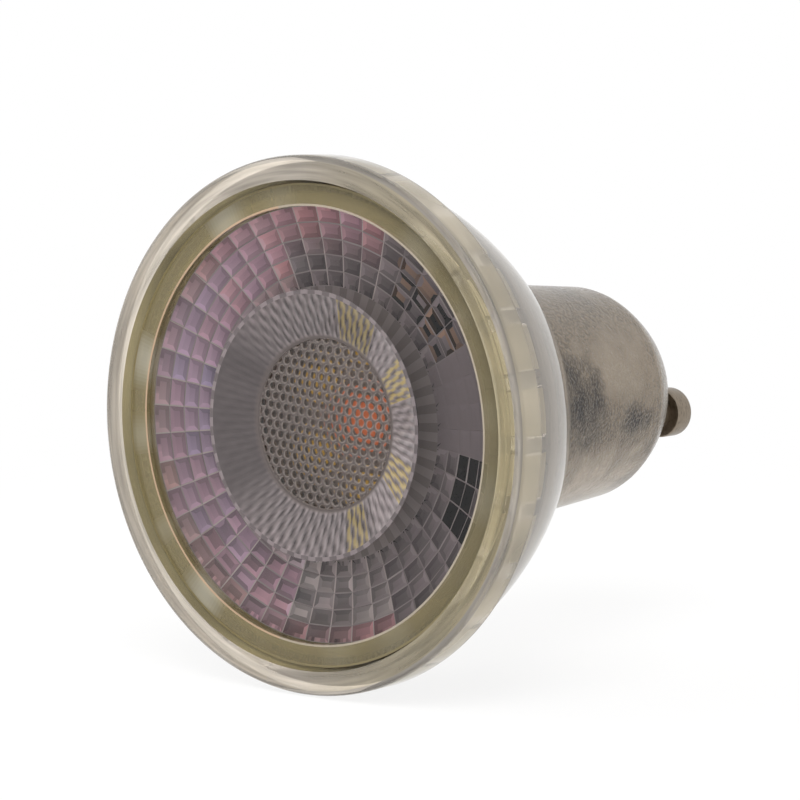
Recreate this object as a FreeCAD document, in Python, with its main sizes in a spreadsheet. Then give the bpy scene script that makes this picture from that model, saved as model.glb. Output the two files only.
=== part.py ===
import FreeCAD, Part
import math
import os
import Sketcher

# Reflector lamp with a two-pin twist-lock cap: pressed-glass body, faceted lens, LED board and driver.
# Every piece is drawn in the lamp's own frame: z is the depth behind the front rim, the pins lie on x.
# The finished pieces are placed with the lamp's axis along +Y and the origin between the pins,
# on the plane under their heads where the holder grips.

DIMS = {
    # glass body, outside
    "rim_radius": 25.0,
    "rim_round": 0.5,
    "flange_height": 3.6,
    "flange_round": 0.4,
    "flange_step": 0.8,
    "bowl_curve": 40.0,
    "neck_depth": 24.0,
    "neck_radius": 12.1,
    "neck_taper": 1.35,
    "bevel_height": 4.2,
    "bevel_curve": 8.0,
    "end_inset": 2.25,
    "body_depth": 47.0,
    # glass body, inside
    "rim_width": 2.3,
    "seat_depth": 2.7,
    "seat_width": 1.7,
    "wall_rise": 3.6,
    "wall_taper": 0.6,
    "ledge_depth": 11.8,
    "ledge_step": 1.5,
    "ledge_width": 1.9,
    "shoulder_curve": 38.0,
    "neck_wall": 1.9,
    "base_wall": 2.2,
    "floor_thickness": 2.6,
    "panel_count": 24,
    "panel_width": 4.2,
    "panel_height": 4.6,
    "panel_recess": 0.45,
    # contact pins
    "pin_pitch": 10.0,
    "shank_radius": 1.5,
    "bore_clearance": 0.05,
    "collar_radius": 2.1,
    "collar_height": 0.6,
    "grip_height": 4.4,
    "head_radius": 2.5,
    "head_height": 2.6,
    "head_round": 0.5,
    "rivet_radius": 2.2,
    "rivet_height": 0.7,
    "base_turn": 30.0,
    # lens
    "lens_clearance": 0.3,
    "bond_thickness": 0.3,
    "bond_width": 0.7,
    "bond_margin": 0.1,
    "lens_flange": 1.5,
    "face_recess": 0.45,
    "facet_count": 45,
    "lens_rim": 2.1,
    "facet_drop_1": 0.8,
    "facet_drop_2": 0.7,
    "facet_drop_3": 0.6,
    "facet_drop_4": 0.5,
    "facet_drop_5": 0.4,
    "well_mouth": 12.2,
    "well_lip": 0.6,
    "well_radius": 8.5,
    "well_depth": 3.05,
    "dome_height": 0.5,
    "dome_margin": 0.1,
    "comb_pitch": 1.07,
    "comb_web": 0.23,
    "comb_depth": 0.32,
    "comb_lead": 0.08,
    "comb_turn": -24.5,
    "foot_clearance": 1.2,
    "foot_wall": 1.5,
    "foot_gap": 0.1,
    "cavity_taper": 0.4,
    "lens_floor": 1.8,
    "rib_count": 90,
    # LED board and emitters
    "board_thickness": 1.2,
    "board_gap": 0.4,
    "board_bond_thickness": 0.2,
    "board_bond_width": 1.2,
    "led_count": 6,
    "led_ring": 6.5,
    "led_depth": 2.8,
    "led_width": 3.5,
    "led_height": 0.7,
    "led_frame": 0.4,
    "led_recess": 0.3,
    "centre_led_side": 5.0,
    "centre_led_height": 1.0,
    "centre_led_cup": 2.2,
    "centre_led_recess": 0.4,
    # parts on the LED board
    "chip_inset": 2.5,
    "chip_length": 4.9,
    "chip_width": 3.9,
    "chip_height": 1.5,
    "chip_turn": -13.0,
    "mlcc_length": 3.2,
    "mlcc_width": 2.5,
    "mlcc_height": 1.6,
    "mlcc_turn": -50.0,
    "mlcc_step": -42.0,
    # driver board and its parts
    "driver_margin": 1.05,
    "driver_thickness": 1.2,
    "driver_gap": 2.7,
    "part_gap": 1.1,
    "drum_radius": 3.3,
    "drum_flange": 1.0,
    "drum_core": 1.6,
    "drum_length": 7.0,
    "drum_margin": 0.5,
    "winding_radius": 3.0,
    "film_width": 7.0,
    "film_length": 8.0,
    "film_thickness": 4.0,
    "can_radius": 3.15,
    "can_length": 11.5,
    "can_margin": 2.0,
    "can_bead": 0.35,
    "can_bead_width": 0.9,
    "can_seal": 2.0,
    "fuse_radius": 1.2,
    "fuse_length": 6.0,
    "fuse_inset": 1.25,
    "fuse_gap": 0.25,
    "front_margin": 2.4,
    "bridge_width": 4.7,
    "bridge_length": 3.9,
    "bridge_height": 1.6,
    "bridge_shift": -2.6,
    "diode_width": 4.3,
    "diode_length": 2.6,
    "diode_height": 2.2,
    "diode_shift": 2.6,
    "sense_width": 3.2,
    "sense_length": 1.6,
    "sense_height": 0.6,
    "sense_shift": 2.6,
    # wires
    "wire_radius": 0.55,
    "wire_bend": 1.5,
    "wire_drop": 2.4,
    "wire_foot": 5.5,
    "wire_tail": 0.9,
    "wire_inset": 2.6,
    "wire_hole_gap": 0.05,
    "wire_shift_1": 2.6,
    "wire_shift_2": 5.6,
    "solder_radius": 1.1,
    "solder_top": 0.7,
    "solder_height": 0.6,
    "lead_radius": 0.35,
    "lead_overlap": 2.6,
}

PLACES = {
    "rim_edge": "=Dims.rim_radius - Dims.rim_round",
    "flange_edge": "=Dims.rim_radius - Dims.flange_round",
    "flange_wall": "=Dims.flange_height - Dims.flange_round",
    "bowl_radius": "=Dims.rim_radius - Dims.flange_step",
    "base_radius": "=Dims.neck_radius - Dims.neck_taper",
    "end_radius": "=base_radius - Dims.end_inset",
    "bevel_depth": "=Dims.body_depth - Dims.bevel_height",
    "mouth_radius": "=Dims.rim_radius - Dims.rim_width",
    "seat_radius": "=mouth_radius - Dims.seat_width",
    "wall_depth": "=Dims.ledge_depth - Dims.wall_rise",
    "wall_radius": "=seat_radius - Dims.wall_taper",
    "ledge_radius": "=wall_radius - Dims.ledge_step",
    "floor_at": "=Dims.body_depth - Dims.floor_thickness",
    "neck_inner": "=Dims.neck_radius - Dims.neck_wall",
    "base_inner": "=base_radius - Dims.base_wall",
    "ledge_inner": "=ledge_radius - Dims.ledge_width",
    "panel_outer": "=seat_radius + Dims.panel_recess",
    "pin_plane": "=Dims.body_depth + Dims.grip_height",
    "pin_tip": "=Dims.body_depth + Dims.grip_height + Dims.head_height",
    "head_edge": "=Dims.head_radius - Dims.head_round",
    "head_wall": "=Dims.body_depth + Dims.grip_height + Dims.head_height - Dims.head_round",
    "collar_end": "=Dims.body_depth + Dims.collar_height",
    "rivet_at": "=Dims.body_depth - Dims.floor_thickness - Dims.rivet_height",
    "pin_bore": "=Dims.shank_radius + Dims.bore_clearance",
    "lens_radius": "=mouth_radius - Dims.lens_clearance",
    "lens_back": "=Dims.seat_depth - Dims.bond_thickness",
    "lens_front": "=Dims.seat_depth - Dims.bond_thickness - Dims.lens_flange",
    "lens_face": "=lens_front + Dims.face_recess",
    "bond_outer": "=lens_radius - Dims.bond_margin",
    "bond_inner": "=lens_radius - Dims.bond_margin - Dims.bond_width",
    "facet_radius": "=lens_radius - Dims.lens_rim",
    "facet_inner": "=Dims.well_mouth + Dims.well_lip",
    "facet_pitch": "=(facet_radius - facet_inner) / 5",
    "facet_r1": "=facet_radius - facet_pitch",
    "facet_r2": "=facet_radius - 2 * facet_pitch",
    "facet_r3": "=facet_radius - 3 * facet_pitch",
    "facet_r4": "=facet_radius - 4 * facet_pitch",
    "facet_r5": "=facet_radius - 5 * facet_pitch",
    "facet_d1": "=lens_back + Dims.facet_drop_1",
    "facet_d2": "=facet_d1 + Dims.facet_drop_2",
    "facet_d3": "=facet_d2 + Dims.facet_drop_3",
    "facet_d4": "=facet_d3 + Dims.facet_drop_4",
    "facet_d5": "=facet_d4 + Dims.facet_drop_5",
    "well_floor": "=lens_face + Dims.well_depth",
    "dome_radius": "=Dims.well_radius - Dims.dome_margin",
    "dome_top": "=well_floor - Dims.dome_height",
    "dome_curve": "=(dome_radius ^ 2 + Dims.dome_height ^ 2) / (2 * Dims.dome_height)",
    "cavity_at": "=well_floor + Dims.lens_floor",
    "foot_inner": "=Dims.led_ring + Dims.led_depth / 2 + Dims.foot_clearance",
    "foot_radius": "=foot_inner + Dims.foot_wall",
    "cavity_top": "=foot_inner - Dims.cavity_taper",
    "board_back": "=Dims.ledge_depth - Dims.board_bond_thickness",
    "board_front": "=board_back - Dims.board_thickness",
    "board_radius": "=ledge_radius - Dims.board_gap",
    "board_bond_inner": "=ledge_inner + Dims.bond_margin",
    "board_bond_outer": "=board_bond_inner + Dims.board_bond_width",
    "foot_at": "=board_front - Dims.foot_gap",
    "chip_ring": "=board_radius - Dims.chip_inset",
    "driver_face": "=Dims.driver_thickness / 2",
    "driver_half": "=base_inner - Dims.driver_margin",
    "driver_width": "=2 * driver_half",
    "driver_end": "=rivet_at - Dims.driver_gap",
    "lead_end": "=driver_end - Dims.lead_overlap",
    "wire_run": "=board_back + Dims.wire_drop",
    "wire_start": "=wire_run + Dims.wire_foot",
    "wire_reach": "=ledge_inner - Dims.wire_inset",
    "wire_lift": "=Dims.driver_thickness / 2 + Dims.wire_radius",
    "wire_lift_end": "=wire_lift + Dims.wire_bend",
    "wire_run_start": "=wire_run + Dims.wire_bend",
    "wire_reach_start": "=wire_reach - Dims.wire_bend",
    "wire_rise": "=wire_run - Dims.wire_bend",
    "wire_top": "=board_front - Dims.wire_tail",
    "wire_hole": "=Dims.wire_radius + Dims.wire_hole_gap",
    "lead_lift": "=Dims.driver_thickness / 2 + Dims.lead_radius",
    "drum_stop": "=driver_end - Dims.drum_margin",
    "drum_at": "=drum_stop - Dims.drum_length",
    "drum_near": "=drum_at + Dims.drum_flange",
    "drum_far": "=drum_stop - Dims.drum_flange",
    "fuse_x": "=driver_half - Dims.fuse_inset",
    "fuse_at": "=drum_stop - Dims.fuse_length",
    "drum_reach": "=Dims.drum_radius + Dims.fuse_radius + Dims.fuse_gap",
    "drum_x": "=fuse_x - sqrt(drum_reach ^ 2 - (Dims.drum_radius - Dims.fuse_radius) ^ 2)",
    "film_at": "=drum_at - Dims.part_gap - Dims.film_length",
    "bridge_at": "=board_back + Dims.front_margin",
    "diode_at": "=board_back + Dims.front_margin",
    "sense_at": "=diode_at + Dims.diode_length + Dims.part_gap",
    "can_stop": "=driver_end - Dims.can_margin",
    "can_at": "=can_stop - Dims.can_length",
    "can_crimp": "=can_stop - Dims.can_seal",
    "can_crimp_start": "=can_crimp - Dims.can_bead_width / 2",
    "can_crimp_stop": "=can_crimp + Dims.can_bead_width / 2",
    "can_groove": "=Dims.can_radius - Dims.can_bead",
}

doc = FreeCAD.newDocument("spotlight_bulb")
dims = doc.addObject("Spreadsheet::Sheet", "Dims")
for row, (alias, number) in enumerate(DIMS.items(), 1):
    dims.set("A%d" % row, alias)
    dims.set("B%d" % row, str(number))
    dims.setAlias("B%d" % row, alias)
doc.recompute()
places = doc.addObject("Spreadsheet::Sheet", "Places")
for row, (alias, formula) in enumerate(PLACES.items(), 1):
    places.set("A%d" % row, alias)
    places.setAlias("B%d" % row, alias)
for row, formula in enumerate(PLACES.values(), 1):
    places.set("B%d" % row, formula)
doc.recompute()

PIECES = []


def ref(alias):
    """Expression that reads a size or a worked-out place."""
    if alias in DIMS:
        return "Dims." + alias
    return "Places." + alias


def val(alias):
    """Present number of a size or a worked-out place."""
    if alias in DIMS:
        return float(dims.get(alias))
    return float(places.get(alias))


def attach(sketch, body, plane, offset=None):
    """Lay a sketch on one of the body's planes, shifted along the plane's normal by a named distance."""
    for feature in body.Origin.OriginFeatures:
        if feature.Role == plane:
            sketch.AttachmentSupport = [(feature, "")]
    sketch.MapMode = "FlatFace"
    if offset:
        sketch.setExpression("AttachmentOffset.Base.z", offset)


def pin_point(sketch, index, vertex, name, axis, alias):
    """Hold one coordinate of a point to its named size, or to the sketch axis where it is zero."""
    if alias is None:
        line = -2 if axis == "X" else -1
        sketch.addConstraint(Sketcher.Constraint("PointOnObject", index, vertex, line))
        return
    label = "%s_%s" % (name, axis.lower())
    at = sketch.addConstraint(Sketcher.Constraint("Distance" + axis, -1, 1, index, vertex, val(alias)))
    sketch.renameConstraint(at, label)
    sketch.setExpression("Constraints." + label, ref(alias))


def draw(sketch, points, closed=True):
    """Draw lines and arcs through named points: (across, along) or (across, along, arc radius, side).

    An arc runs from its own point to the next; side is +1 or -1, the way it bulges.
    """
    spots = [FreeCAD.Vector(val(p[0]) if p[0] else 0.0, val(p[1]) if p[1] else 0.0, 0) for p in points]
    count = len(points) if closed else len(points) - 1
    ends = []
    for i in range(count):
        a = spots[i]
        b = spots[(i + 1) % len(points)]
        if len(points[i]) == 2:
            index = sketch.addGeometry(Part.LineSegment(a, b), False)
        else:
            radius = val(points[i][2])
            chord = b - a
            half = chord.Length / 2
            sagitta = radius - math.sqrt(radius * radius - half * half)
            normal = FreeCAD.Vector(chord.y, -chord.x, 0).normalize()
            middle = (a + b) * 0.5 + normal * (sagitta * points[i][3])
            index = sketch.addGeometry(Part.Arc(a, middle, b), False)
        first = 1 if sketch.getPoint(index, 1).distanceToPoint(a) < 1e-6 else 2
        ends.append((index, first, 3 - first))
    for i, (index, first, last) in enumerate(ends):
        pin_point(sketch, index, first, "p%d" % i, "X", points[i][0])
        pin_point(sketch, index, first, "p%d" % i, "Y", points[i][1])
        if closed or i + 1 < count:
            after = ends[(i + 1) % len(ends)]
            sketch.addConstraint(Sketcher.Constraint("Coincident", index, last, after[0], after[1]))
        else:
            pin_point(sketch, index, last, "end", "X", points[-1][0])
            pin_point(sketch, index, last, "end", "Y", points[-1][1])
        if len(points[i]) == 4:
            at = sketch.addConstraint(Sketcher.Constraint("Radius", index, val(points[i][2])))
            sketch.renameConstraint(at, "arc%d" % i)
            sketch.setExpression("Constraints.arc%d" % i, ref(points[i][2]))


def turned(name, points):
    """Body turned about the lamp's axis from an outline of (radius, depth) points."""
    body = doc.addObject("PartDesign::Body", name)
    sketch = body.newObject("Sketcher::SketchObject", name + "_outline")
    attach(sketch, body, "XZ_Plane")
    draw(sketch, points)
    doc.recompute()
    turn = body.newObject("PartDesign::Revolution", name + "_turn")
    turn.Profile = sketch
    turn.ReferenceAxis = (sketch, ["V_Axis"])
    turn.Angle = 360
    sketch.Visibility = False
    doc.recompute()
    return body


def circles(sketch, spots, radius):
    """Equal circles at named (across, sign) places along the sketch's x axis."""
    for number, (alias, sign, along) in enumerate(spots):
        y = val(along) if along else 0.0
        x = val(alias) * sign
        index = sketch.addGeometry(Part.Circle(FreeCAD.Vector(x, -y, 0), FreeCAD.Vector(0, 0, 1), val(radius)), False)
        at = sketch.addConstraint(Sketcher.Constraint("Radius", index, val(radius)))
        sketch.renameConstraint(at, "r%d" % number)
        sketch.setExpression("Constraints.r%d" % number, ref(radius))
        order = (-1, 1, index, 3) if sign > 0 else (index, 3, -1, 1)
        at = sketch.addConstraint(Sketcher.Constraint("DistanceX", *order, abs(x)))
        sketch.renameConstraint(at, "x%d" % number)
        sketch.setExpression("Constraints.x%d" % number, "%s * %s" % (ref(alias), abs(sign)))
        if along:
            at = sketch.addConstraint(Sketcher.Constraint("DistanceY", index, 3, -1, 1, y))
            sketch.renameConstraint(at, "y%d" % number)
            sketch.setExpression("Constraints.y%d" % number, ref(along))
        else:
            sketch.addConstraint(Sketcher.Constraint("PointOnObject", index, 3, -1))


def pocket_rearward(body, sketch, name, length=None):
    """Cut a sketch from its plane towards the rear of the lamp, through all or by a named length."""
    before = body.Tip.Shape.Volume
    cut = body.newObject("PartDesign::Pocket", name)
    cut.Profile = sketch
    cut.Reversed = True
    if length:
        cut.Type = 0
        cut.setExpression("Length", length)
    else:
        cut.Type = 1
    sketch.Visibility = False
    doc.recompute()
    if body.Tip.Shape.Volume >= before:
        raise RuntimeError(name + " removed nothing")
    return cut


def set_all(obj, **expressions):
    for path, expression in expressions.items():
        obj.setExpression(path.replace("_", "."), expression)


def box(name, length, width, height, x, y, z):
    """Block whose sizes and corner are expressions."""
    block = doc.addObject("Part::Box", name)
    set_all(block, Length=length, Width=width, Height=height)
    set_all(block, Placement_Base_x=x, Placement_Base_y=y, Placement_Base_z=z)
    return block


def cylinder(name, radius, height, x, y, z):
    """Upright cylinder whose sizes and foot are expressions."""
    rod = doc.addObject("Part::Cylinder", name)
    set_all(rod, Radius=radius, Height=height)
    set_all(rod, Placement_Base_x=x, Placement_Base_y=y, Placement_Base_z=z)
    return rod


def minus(name, base, tool):
    cut = doc.addObject("Part::Cut", name)
    cut.Base = base
    cut.Tool = tool
    return cut


def plus(name, shapes):
    joined = doc.addObject("Part::MultiFuse", name)
    joined.Shapes = shapes
    return joined


def stack(name, count, levels, turn="0"):
    """Solid with flat facets through regular polygons: (corner radius, depth) expressions per level."""
    sections = []
    for number, (radius, depth) in enumerate(levels):
        polygon = doc.addObject("Part::RegularPolygon", "%s_%d" % (name, number))
        polygon.Placement = FreeCAD.Placement(FreeCAD.Vector(), FreeCAD.Rotation(FreeCAD.Vector(0, 0, 1), 1))
        set_all(polygon, Polygon=count, Circumradius=radius)
        polygon.setExpression("Placement.Base.z", depth)
        polygon.setExpression("Placement.Rotation.Angle", turn)
        polygon.Visibility = False
        sections.append(polygon)
    solid = doc.addObject("Part::Loft", name)
    solid.Sections = sections
    solid.Solid = True
    solid.Ruled = True
    return solid


def piece(label, source, turn="0"):
    """Finished piece: its source placed in the row's frame, turned about the axis by an expression."""
    node = doc.addObject("Part::Compound", "piece_" + label)
    node.Links = [source]
    node.Label = label
    node.setExpression("Placement", (
        "placement(vector(0; -Places.pin_plane; 0);"
        " rotation(vector(1; 0; 0); -90) * rotation(vector(0; 0; 1); Dims.base_turn + (%s)))" % turn))
    PIECES.append(node)
    return node


# Glass body: one outline turned about the axis, then the inner panels and the bores for the pins.
glass = turned("glass", [
    ("mouth_radius", None),
    ("rim_edge", None, "rim_round", 1),
    ("rim_radius", "rim_round"),
    ("rim_radius", "flange_wall", "flange_round", 1),
    ("flange_edge", "flange_height"),
    ("bowl_radius", "flange_height", "bowl_curve", 1),
    ("neck_radius", "neck_depth"),
    ("base_radius", "bevel_depth", "bevel_curve", 1),
    ("end_radius", "body_depth"),
    (None, "body_depth"),
    (None, "floor_at"),
    ("base_inner", "floor_at"),
    ("neck_inner", "neck_depth", "shoulder_curve", -1),
    ("ledge_inner", "ledge_depth"),
    ("ledge_radius", "ledge_depth"),
    ("wall_radius", "wall_depth"),
    ("seat_radius", "seat_depth"),
    ("mouth_radius", "seat_depth"),
])
panel = glass.newObject("Sketcher::SketchObject", "panel_outline")
attach(panel, glass, "XY_Plane", "Dims.seat_depth")
half = val("panel_width") / 2
corners = [
    FreeCAD.Vector(val("ledge_radius"), -half, 0),
    FreeCAD.Vector(val("panel_outer"), -half, 0),
    FreeCAD.Vector(val("panel_outer"), half, 0),
    FreeCAD.Vector(val("ledge_radius"), half, 0),
]
for i in range(4):
    panel.addGeometry(Part.LineSegment(corners[i], corners[(i + 1) % 4]), False)
for i in range(4):
    panel.addConstraint(Sketcher.Constraint("Coincident", i, 2, (i + 1) % 4, 1))
panel.addConstraint(Sketcher.Constraint("Vertical", 3))
panel.addConstraint(Sketcher.Constraint("Horizontal", 0))
panel.addConstraint(Sketcher.Constraint("Horizontal", 2))
panel.addConstraint(Sketcher.Constraint("Symmetric", 1, 1, 1, 2, -1))
for name, kind, where, alias in (
    ("outer", "DistanceX", (-1, 1, 1, 1), "panel_outer"),
    ("inner", "DistanceX", (-1, 1, 3, 1), "ledge_radius"),
    ("width", "DistanceY", (1, 1, 1, 2), "panel_width"),
):
    at = panel.addConstraint(Sketcher.Constraint(kind, *where, val(alias)))
    panel.renameConstraint(at, name)
    panel.setExpression("Constraints." + name, ref(alias))
doc.recompute()
panel_cut = pocket_rearward(glass, panel, "panel_cut", "Dims.panel_height")
panels = glass.newObject("PartDesign::PolarPattern", "panels")
panels.Originals = [panel_cut]
panels.Axis = (panel, ["N_Axis"])
panels.Angle = 360
panels.setExpression("Occurrences", "Dims.panel_count")
glass.Tip = panels
doc.recompute()
bores = glass.newObject("Sketcher::SketchObject", "bore_outline")
attach(bores, glass, "XY_Plane")
circles(bores, [("pin_pitch", 0.5, None), ("pin_pitch", -0.5, None)], "pin_bore")
doc.recompute()
pocket_rearward(glass, bores, "bore_cut")
piece("glass_envelope", glass)

# Lens: turned flange and face, flat rear facets in rows, foot ring, well with a domed honeycomb floor.
lens_plate = turned("lens_plate", [
    (None, "lens_face"),
    ("facet_radius", "lens_face"),
    ("facet_radius", "lens_front"),
    ("lens_radius", "lens_front"),
    ("lens_radius", "lens_back"),
    (None, "lens_back"),
])
facets = stack("facets", "Dims.facet_count", [
    ("Places.facet_radius", "Places.lens_back"),
    ("Places.facet_r1", "Places.facet_d1"),
    ("Places.facet_r2", "Places.facet_d2"),
    ("Places.facet_r3", "Places.facet_d3"),
    ("Places.facet_r4", "Places.facet_d4"),
    ("Places.facet_r5", "Places.facet_d5"),
])
foot = cylinder("foot", "Places.foot_radius", "Places.foot_at - Places.facet_d4", "0", "0", "Places.facet_d4")
well = doc.addObject("Part::Cone", "well")
set_all(well, Radius1="Dims.well_mouth", Radius2="Dims.well_radius", Height="Dims.well_depth")
well.setExpression("Placement.Base.z", "Places.lens_face")
cavity = stack("cavity", "Dims.rib_count", [
    ("Places.cavity_top", "Places.cavity_at"),
    ("Places.foot_inner", "Places.foot_at"),
])
dome = turned("dome", [
    (None, "dome_top", "dome_curve", 1),
    ("dome_radius", "well_floor"),
    ("dome_radius", "cavity_at"),
    (None, "cavity_at"),
])
lens_bulk = plus("lens_bulk", [lens_plate, facets, foot])
lens_open = minus("lens_open", minus("lens_well", lens_bulk, well), cavity)
lens_domed = plus("lens_domed", [lens_open, dome])
doc.recompute()


def comb_cell(x, y, z, flat, depth, lead, turn):
    """Six-sided pit with its point to the rear, widest a little in front of the dome."""
    corner = flat / math.sqrt(3) * (1 + lead / depth)
    ring = []
    for k in range(6):
        angle = turn + math.radians(30 + 60 * k)
        ring.append(FreeCAD.Vector(x + corner * math.cos(angle), y + corner * math.sin(angle), z - lead))
    tip = FreeCAD.Vector(x, y, z + depth)
    faces = [Part.Face(Part.makePolygon(ring + [ring[0]]))]
    for k in range(6):
        after = ring[(k + 1) % 6]
        faces.append(Part.Face(Part.makePolygon([ring[k], after, tip, ring[k]])))
    return Part.Solid(Part.Shell(faces))


# Honeycomb: rows of pits over the dome, each set at the dome's own height.
pitch = val("comb_pitch")
flat = pitch - val("comb_web")
turn = math.radians(val("comb_turn"))
curve = val("dome_curve")
limit = val("dome_radius") - pitch * 0.62
span = int(limit / pitch) + 2
cells = []
for row in range(-span, span + 1):
    for column in range(-span, span + 1):
        across = pitch * (column + 0.5 * (row % 2))
        along = pitch * row * math.sqrt(3) / 2
        if math.hypot(across, along) > limit:
            continue
        x = across * math.cos(turn) - along * math.sin(turn)
        y = across * math.sin(turn) + along * math.cos(turn)
        sink = curve - math.sqrt(curve * curve - x * x - y * y)
        top = val("dome_top") + sink
        cells.append(comb_cell(x, y, top, flat, val("comb_depth"), val("comb_lead"), turn))
comb = doc.addObject("Part::Feature", "honeycomb")
comb.Shape = Part.makeCompound(cells)
lens = minus("lens", lens_domed, comb)
doc.recompute()
piece("front_lens", lens)

# Bonds under the lens flange and under the LED board.
lens_bond = turned("lens_bond_ring", [
    ("bond_inner", "lens_back"),
    ("bond_outer", "lens_back"),
    ("bond_outer", "seat_depth"),
    ("bond_inner", "seat_depth"),
])
piece("lens_bond", lens_bond)
board_bond = turned("board_bond_ring", [
    ("board_bond_inner", "board_back"),
    ("board_bond_outer", "board_back"),
    ("board_bond_outer", "ledge_depth"),
    ("board_bond_inner", "ledge_depth"),
])
piece("board_bond", board_bond)

# LED board with the two holes for its supply wires.
board = turned("board", [
    (None, "board_front"),
    ("board_radius", "board_front"),
    ("board_radius", "board_back"),
    (None, "board_back"),
])
holes = board.newObject("Sketcher::SketchObject", "wire_holes")
attach(holes, board, "XY_Plane")
circles(holes, [("wire_shift_1", 1, "wire_reach"), ("wire_shift_2", 1, "wire_reach")], "wire_hole")
doc.recompute()
pocket_rearward(board, holes, "wire_hole_cut")
piece("led_board", board)

# Emitters: a ring of equal packages and a larger one in the middle, each with its phosphor in the cup.
for k in range(int(val("led_count"))):
    number = k + 1
    angle = "%d * 360 / Dims.led_count" % k
    package = box(
        "package_%d" % number, "Dims.led_depth", "Dims.led_width", "Dims.led_height",
        "Dims.led_ring - Dims.led_depth / 2", "-Dims.led_width / 2", "Places.board_front - Dims.led_height")
    cup = [
        "Dims.led_depth - 2 * Dims.led_frame", "Dims.led_width - 2 * Dims.led_frame", "Dims.led_recess",
        "Dims.led_ring - Dims.led_depth / 2 + Dims.led_frame", "-Dims.led_width / 2 + Dims.led_frame",
        "Places.board_front - Dims.led_height"]
    hollow = minus("package_cup_%d" % number, package, box("cup_%d" % number, *cup))
    piece("led_package_%d" % number, hollow, angle)
    piece("led_phosphor_%d" % number, box("phosphor_%d" % number, *cup), angle)
centre = box(
    "centre_block", "Dims.centre_led_side", "Dims.centre_led_side", "Dims.centre_led_height",
    "-Dims.centre_led_side / 2", "-Dims.centre_led_side / 2", "Places.board_front - Dims.centre_led_height")
centre_cup = ["Dims.centre_led_cup", "Dims.centre_led_recess", "0", "0", "Places.board_front - Dims.centre_led_height"]
piece("centre_led_package", minus("centre_package", centre, cylinder("centre_cup", *centre_cup)))
piece("centre_led_phosphor", cylinder("centre_phosphor", *centre_cup))

# Parts on the LED board, outside the lens foot.
chip = box(
    "chip", "Dims.chip_width", "Dims.chip_length", "Dims.chip_height",
    "Places.chip_ring - Dims.chip_width / 2", "-Dims.chip_length / 2", "Places.board_front - Dims.chip_height")
piece("driver_chip", chip, "Dims.chip_turn")
for number, angle in ((1, "Dims.mlcc_turn"), (2, "Dims.mlcc_turn + Dims.mlcc_step")):
    block = box(
        "mlcc_%d" % number, "Dims.mlcc_width", "Dims.mlcc_length", "Dims.mlcc_height",
        "Places.chip_ring - Dims.mlcc_width / 2", "-Dims.mlcc_length / 2", "Places.board_front - Dims.mlcc_height")
    piece("chip_capacitor_%d" % number, block, angle)

# Driver board: stands in the neck on the plane of the pins, against the back of the LED board.
driver = box(
    "driver", "Places.driver_width", "Dims.driver_thickness", "Places.driver_end - Places.board_back",
    "-Places.driver_half", "-Dims.driver_thickness / 2", "Places.board_back")
piece("driver_board", driver)

# Inductor: a ferrite bobbin lying along the board with its winding between the flanges.
drum = turned("drum", [
    (None, "drum_at"),
    ("drum_radius", "drum_at"),
    ("drum_radius", "drum_near"),
    ("drum_core", "drum_near"),
    ("drum_core", "drum_far"),
    ("drum_radius", "drum_far"),
    ("drum_radius", "drum_stop"),
    (None, "drum_stop"),
])
drum.setExpression("Placement.Base.x", "Places.drum_x")
drum.setExpression("Placement.Base.y", "-Places.driver_face - Dims.drum_radius")
piece("inductor_core", drum)
winding = turned("winding", [
    ("drum_core", "drum_near"),
    ("winding_radius", "drum_near"),
    ("winding_radius", "drum_far"),
    ("drum_core", "drum_far"),
])
winding.setExpression("Placement.Base.x", "Places.drum_x")
winding.setExpression("Placement.Base.y", "-Places.driver_face - Dims.drum_radius")
piece("inductor_winding", winding)

# Smoothing capacitor: a rolled can with the crimp groove near its seal.
can = turned("can", [
    (None, "can_at"),
    ("can_radius", "can_at"),
    ("can_radius", "can_crimp_start"),
    ("can_groove", "can_crimp"),
    ("can_radius", "can_crimp_stop"),
    ("can_radius", "can_stop"),
    (None, "can_stop"),
])
can.setExpression("Placement.Base.y", "Places.driver_face + Dims.can_radius")
piece("smoothing_capacitor", can)

# Blocks soldered on the driver board's two faces.
film = box(
    "film", "Dims.film_width", "Dims.film_thickness", "Dims.film_length",
    "-Dims.film_width / 2", "-Places.driver_face - Dims.film_thickness", "Places.film_at")
piece("film_capacitor", film)
for name, label in (("bridge", "bridge_rectifier"), ("diode", "freewheel_diode"), ("sense", "sense_resistor")):
    block = box(
        name, "Dims.%s_width" % name, "Dims.%s_height" % name, "Dims.%s_length" % name,
        "Dims.%s_shift - Dims.%s_width / 2" % (name, name), "Places.driver_face", "Places.%s_at" % name)
    piece(label, block)
fuse = cylinder(
    "fuse", "Dims.fuse_radius", "Dims.fuse_length",
    "Places.fuse_x", "-Places.driver_face - Dims.fuse_radius", "Places.fuse_at")
piece("fuse_resistor", fuse)


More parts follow.
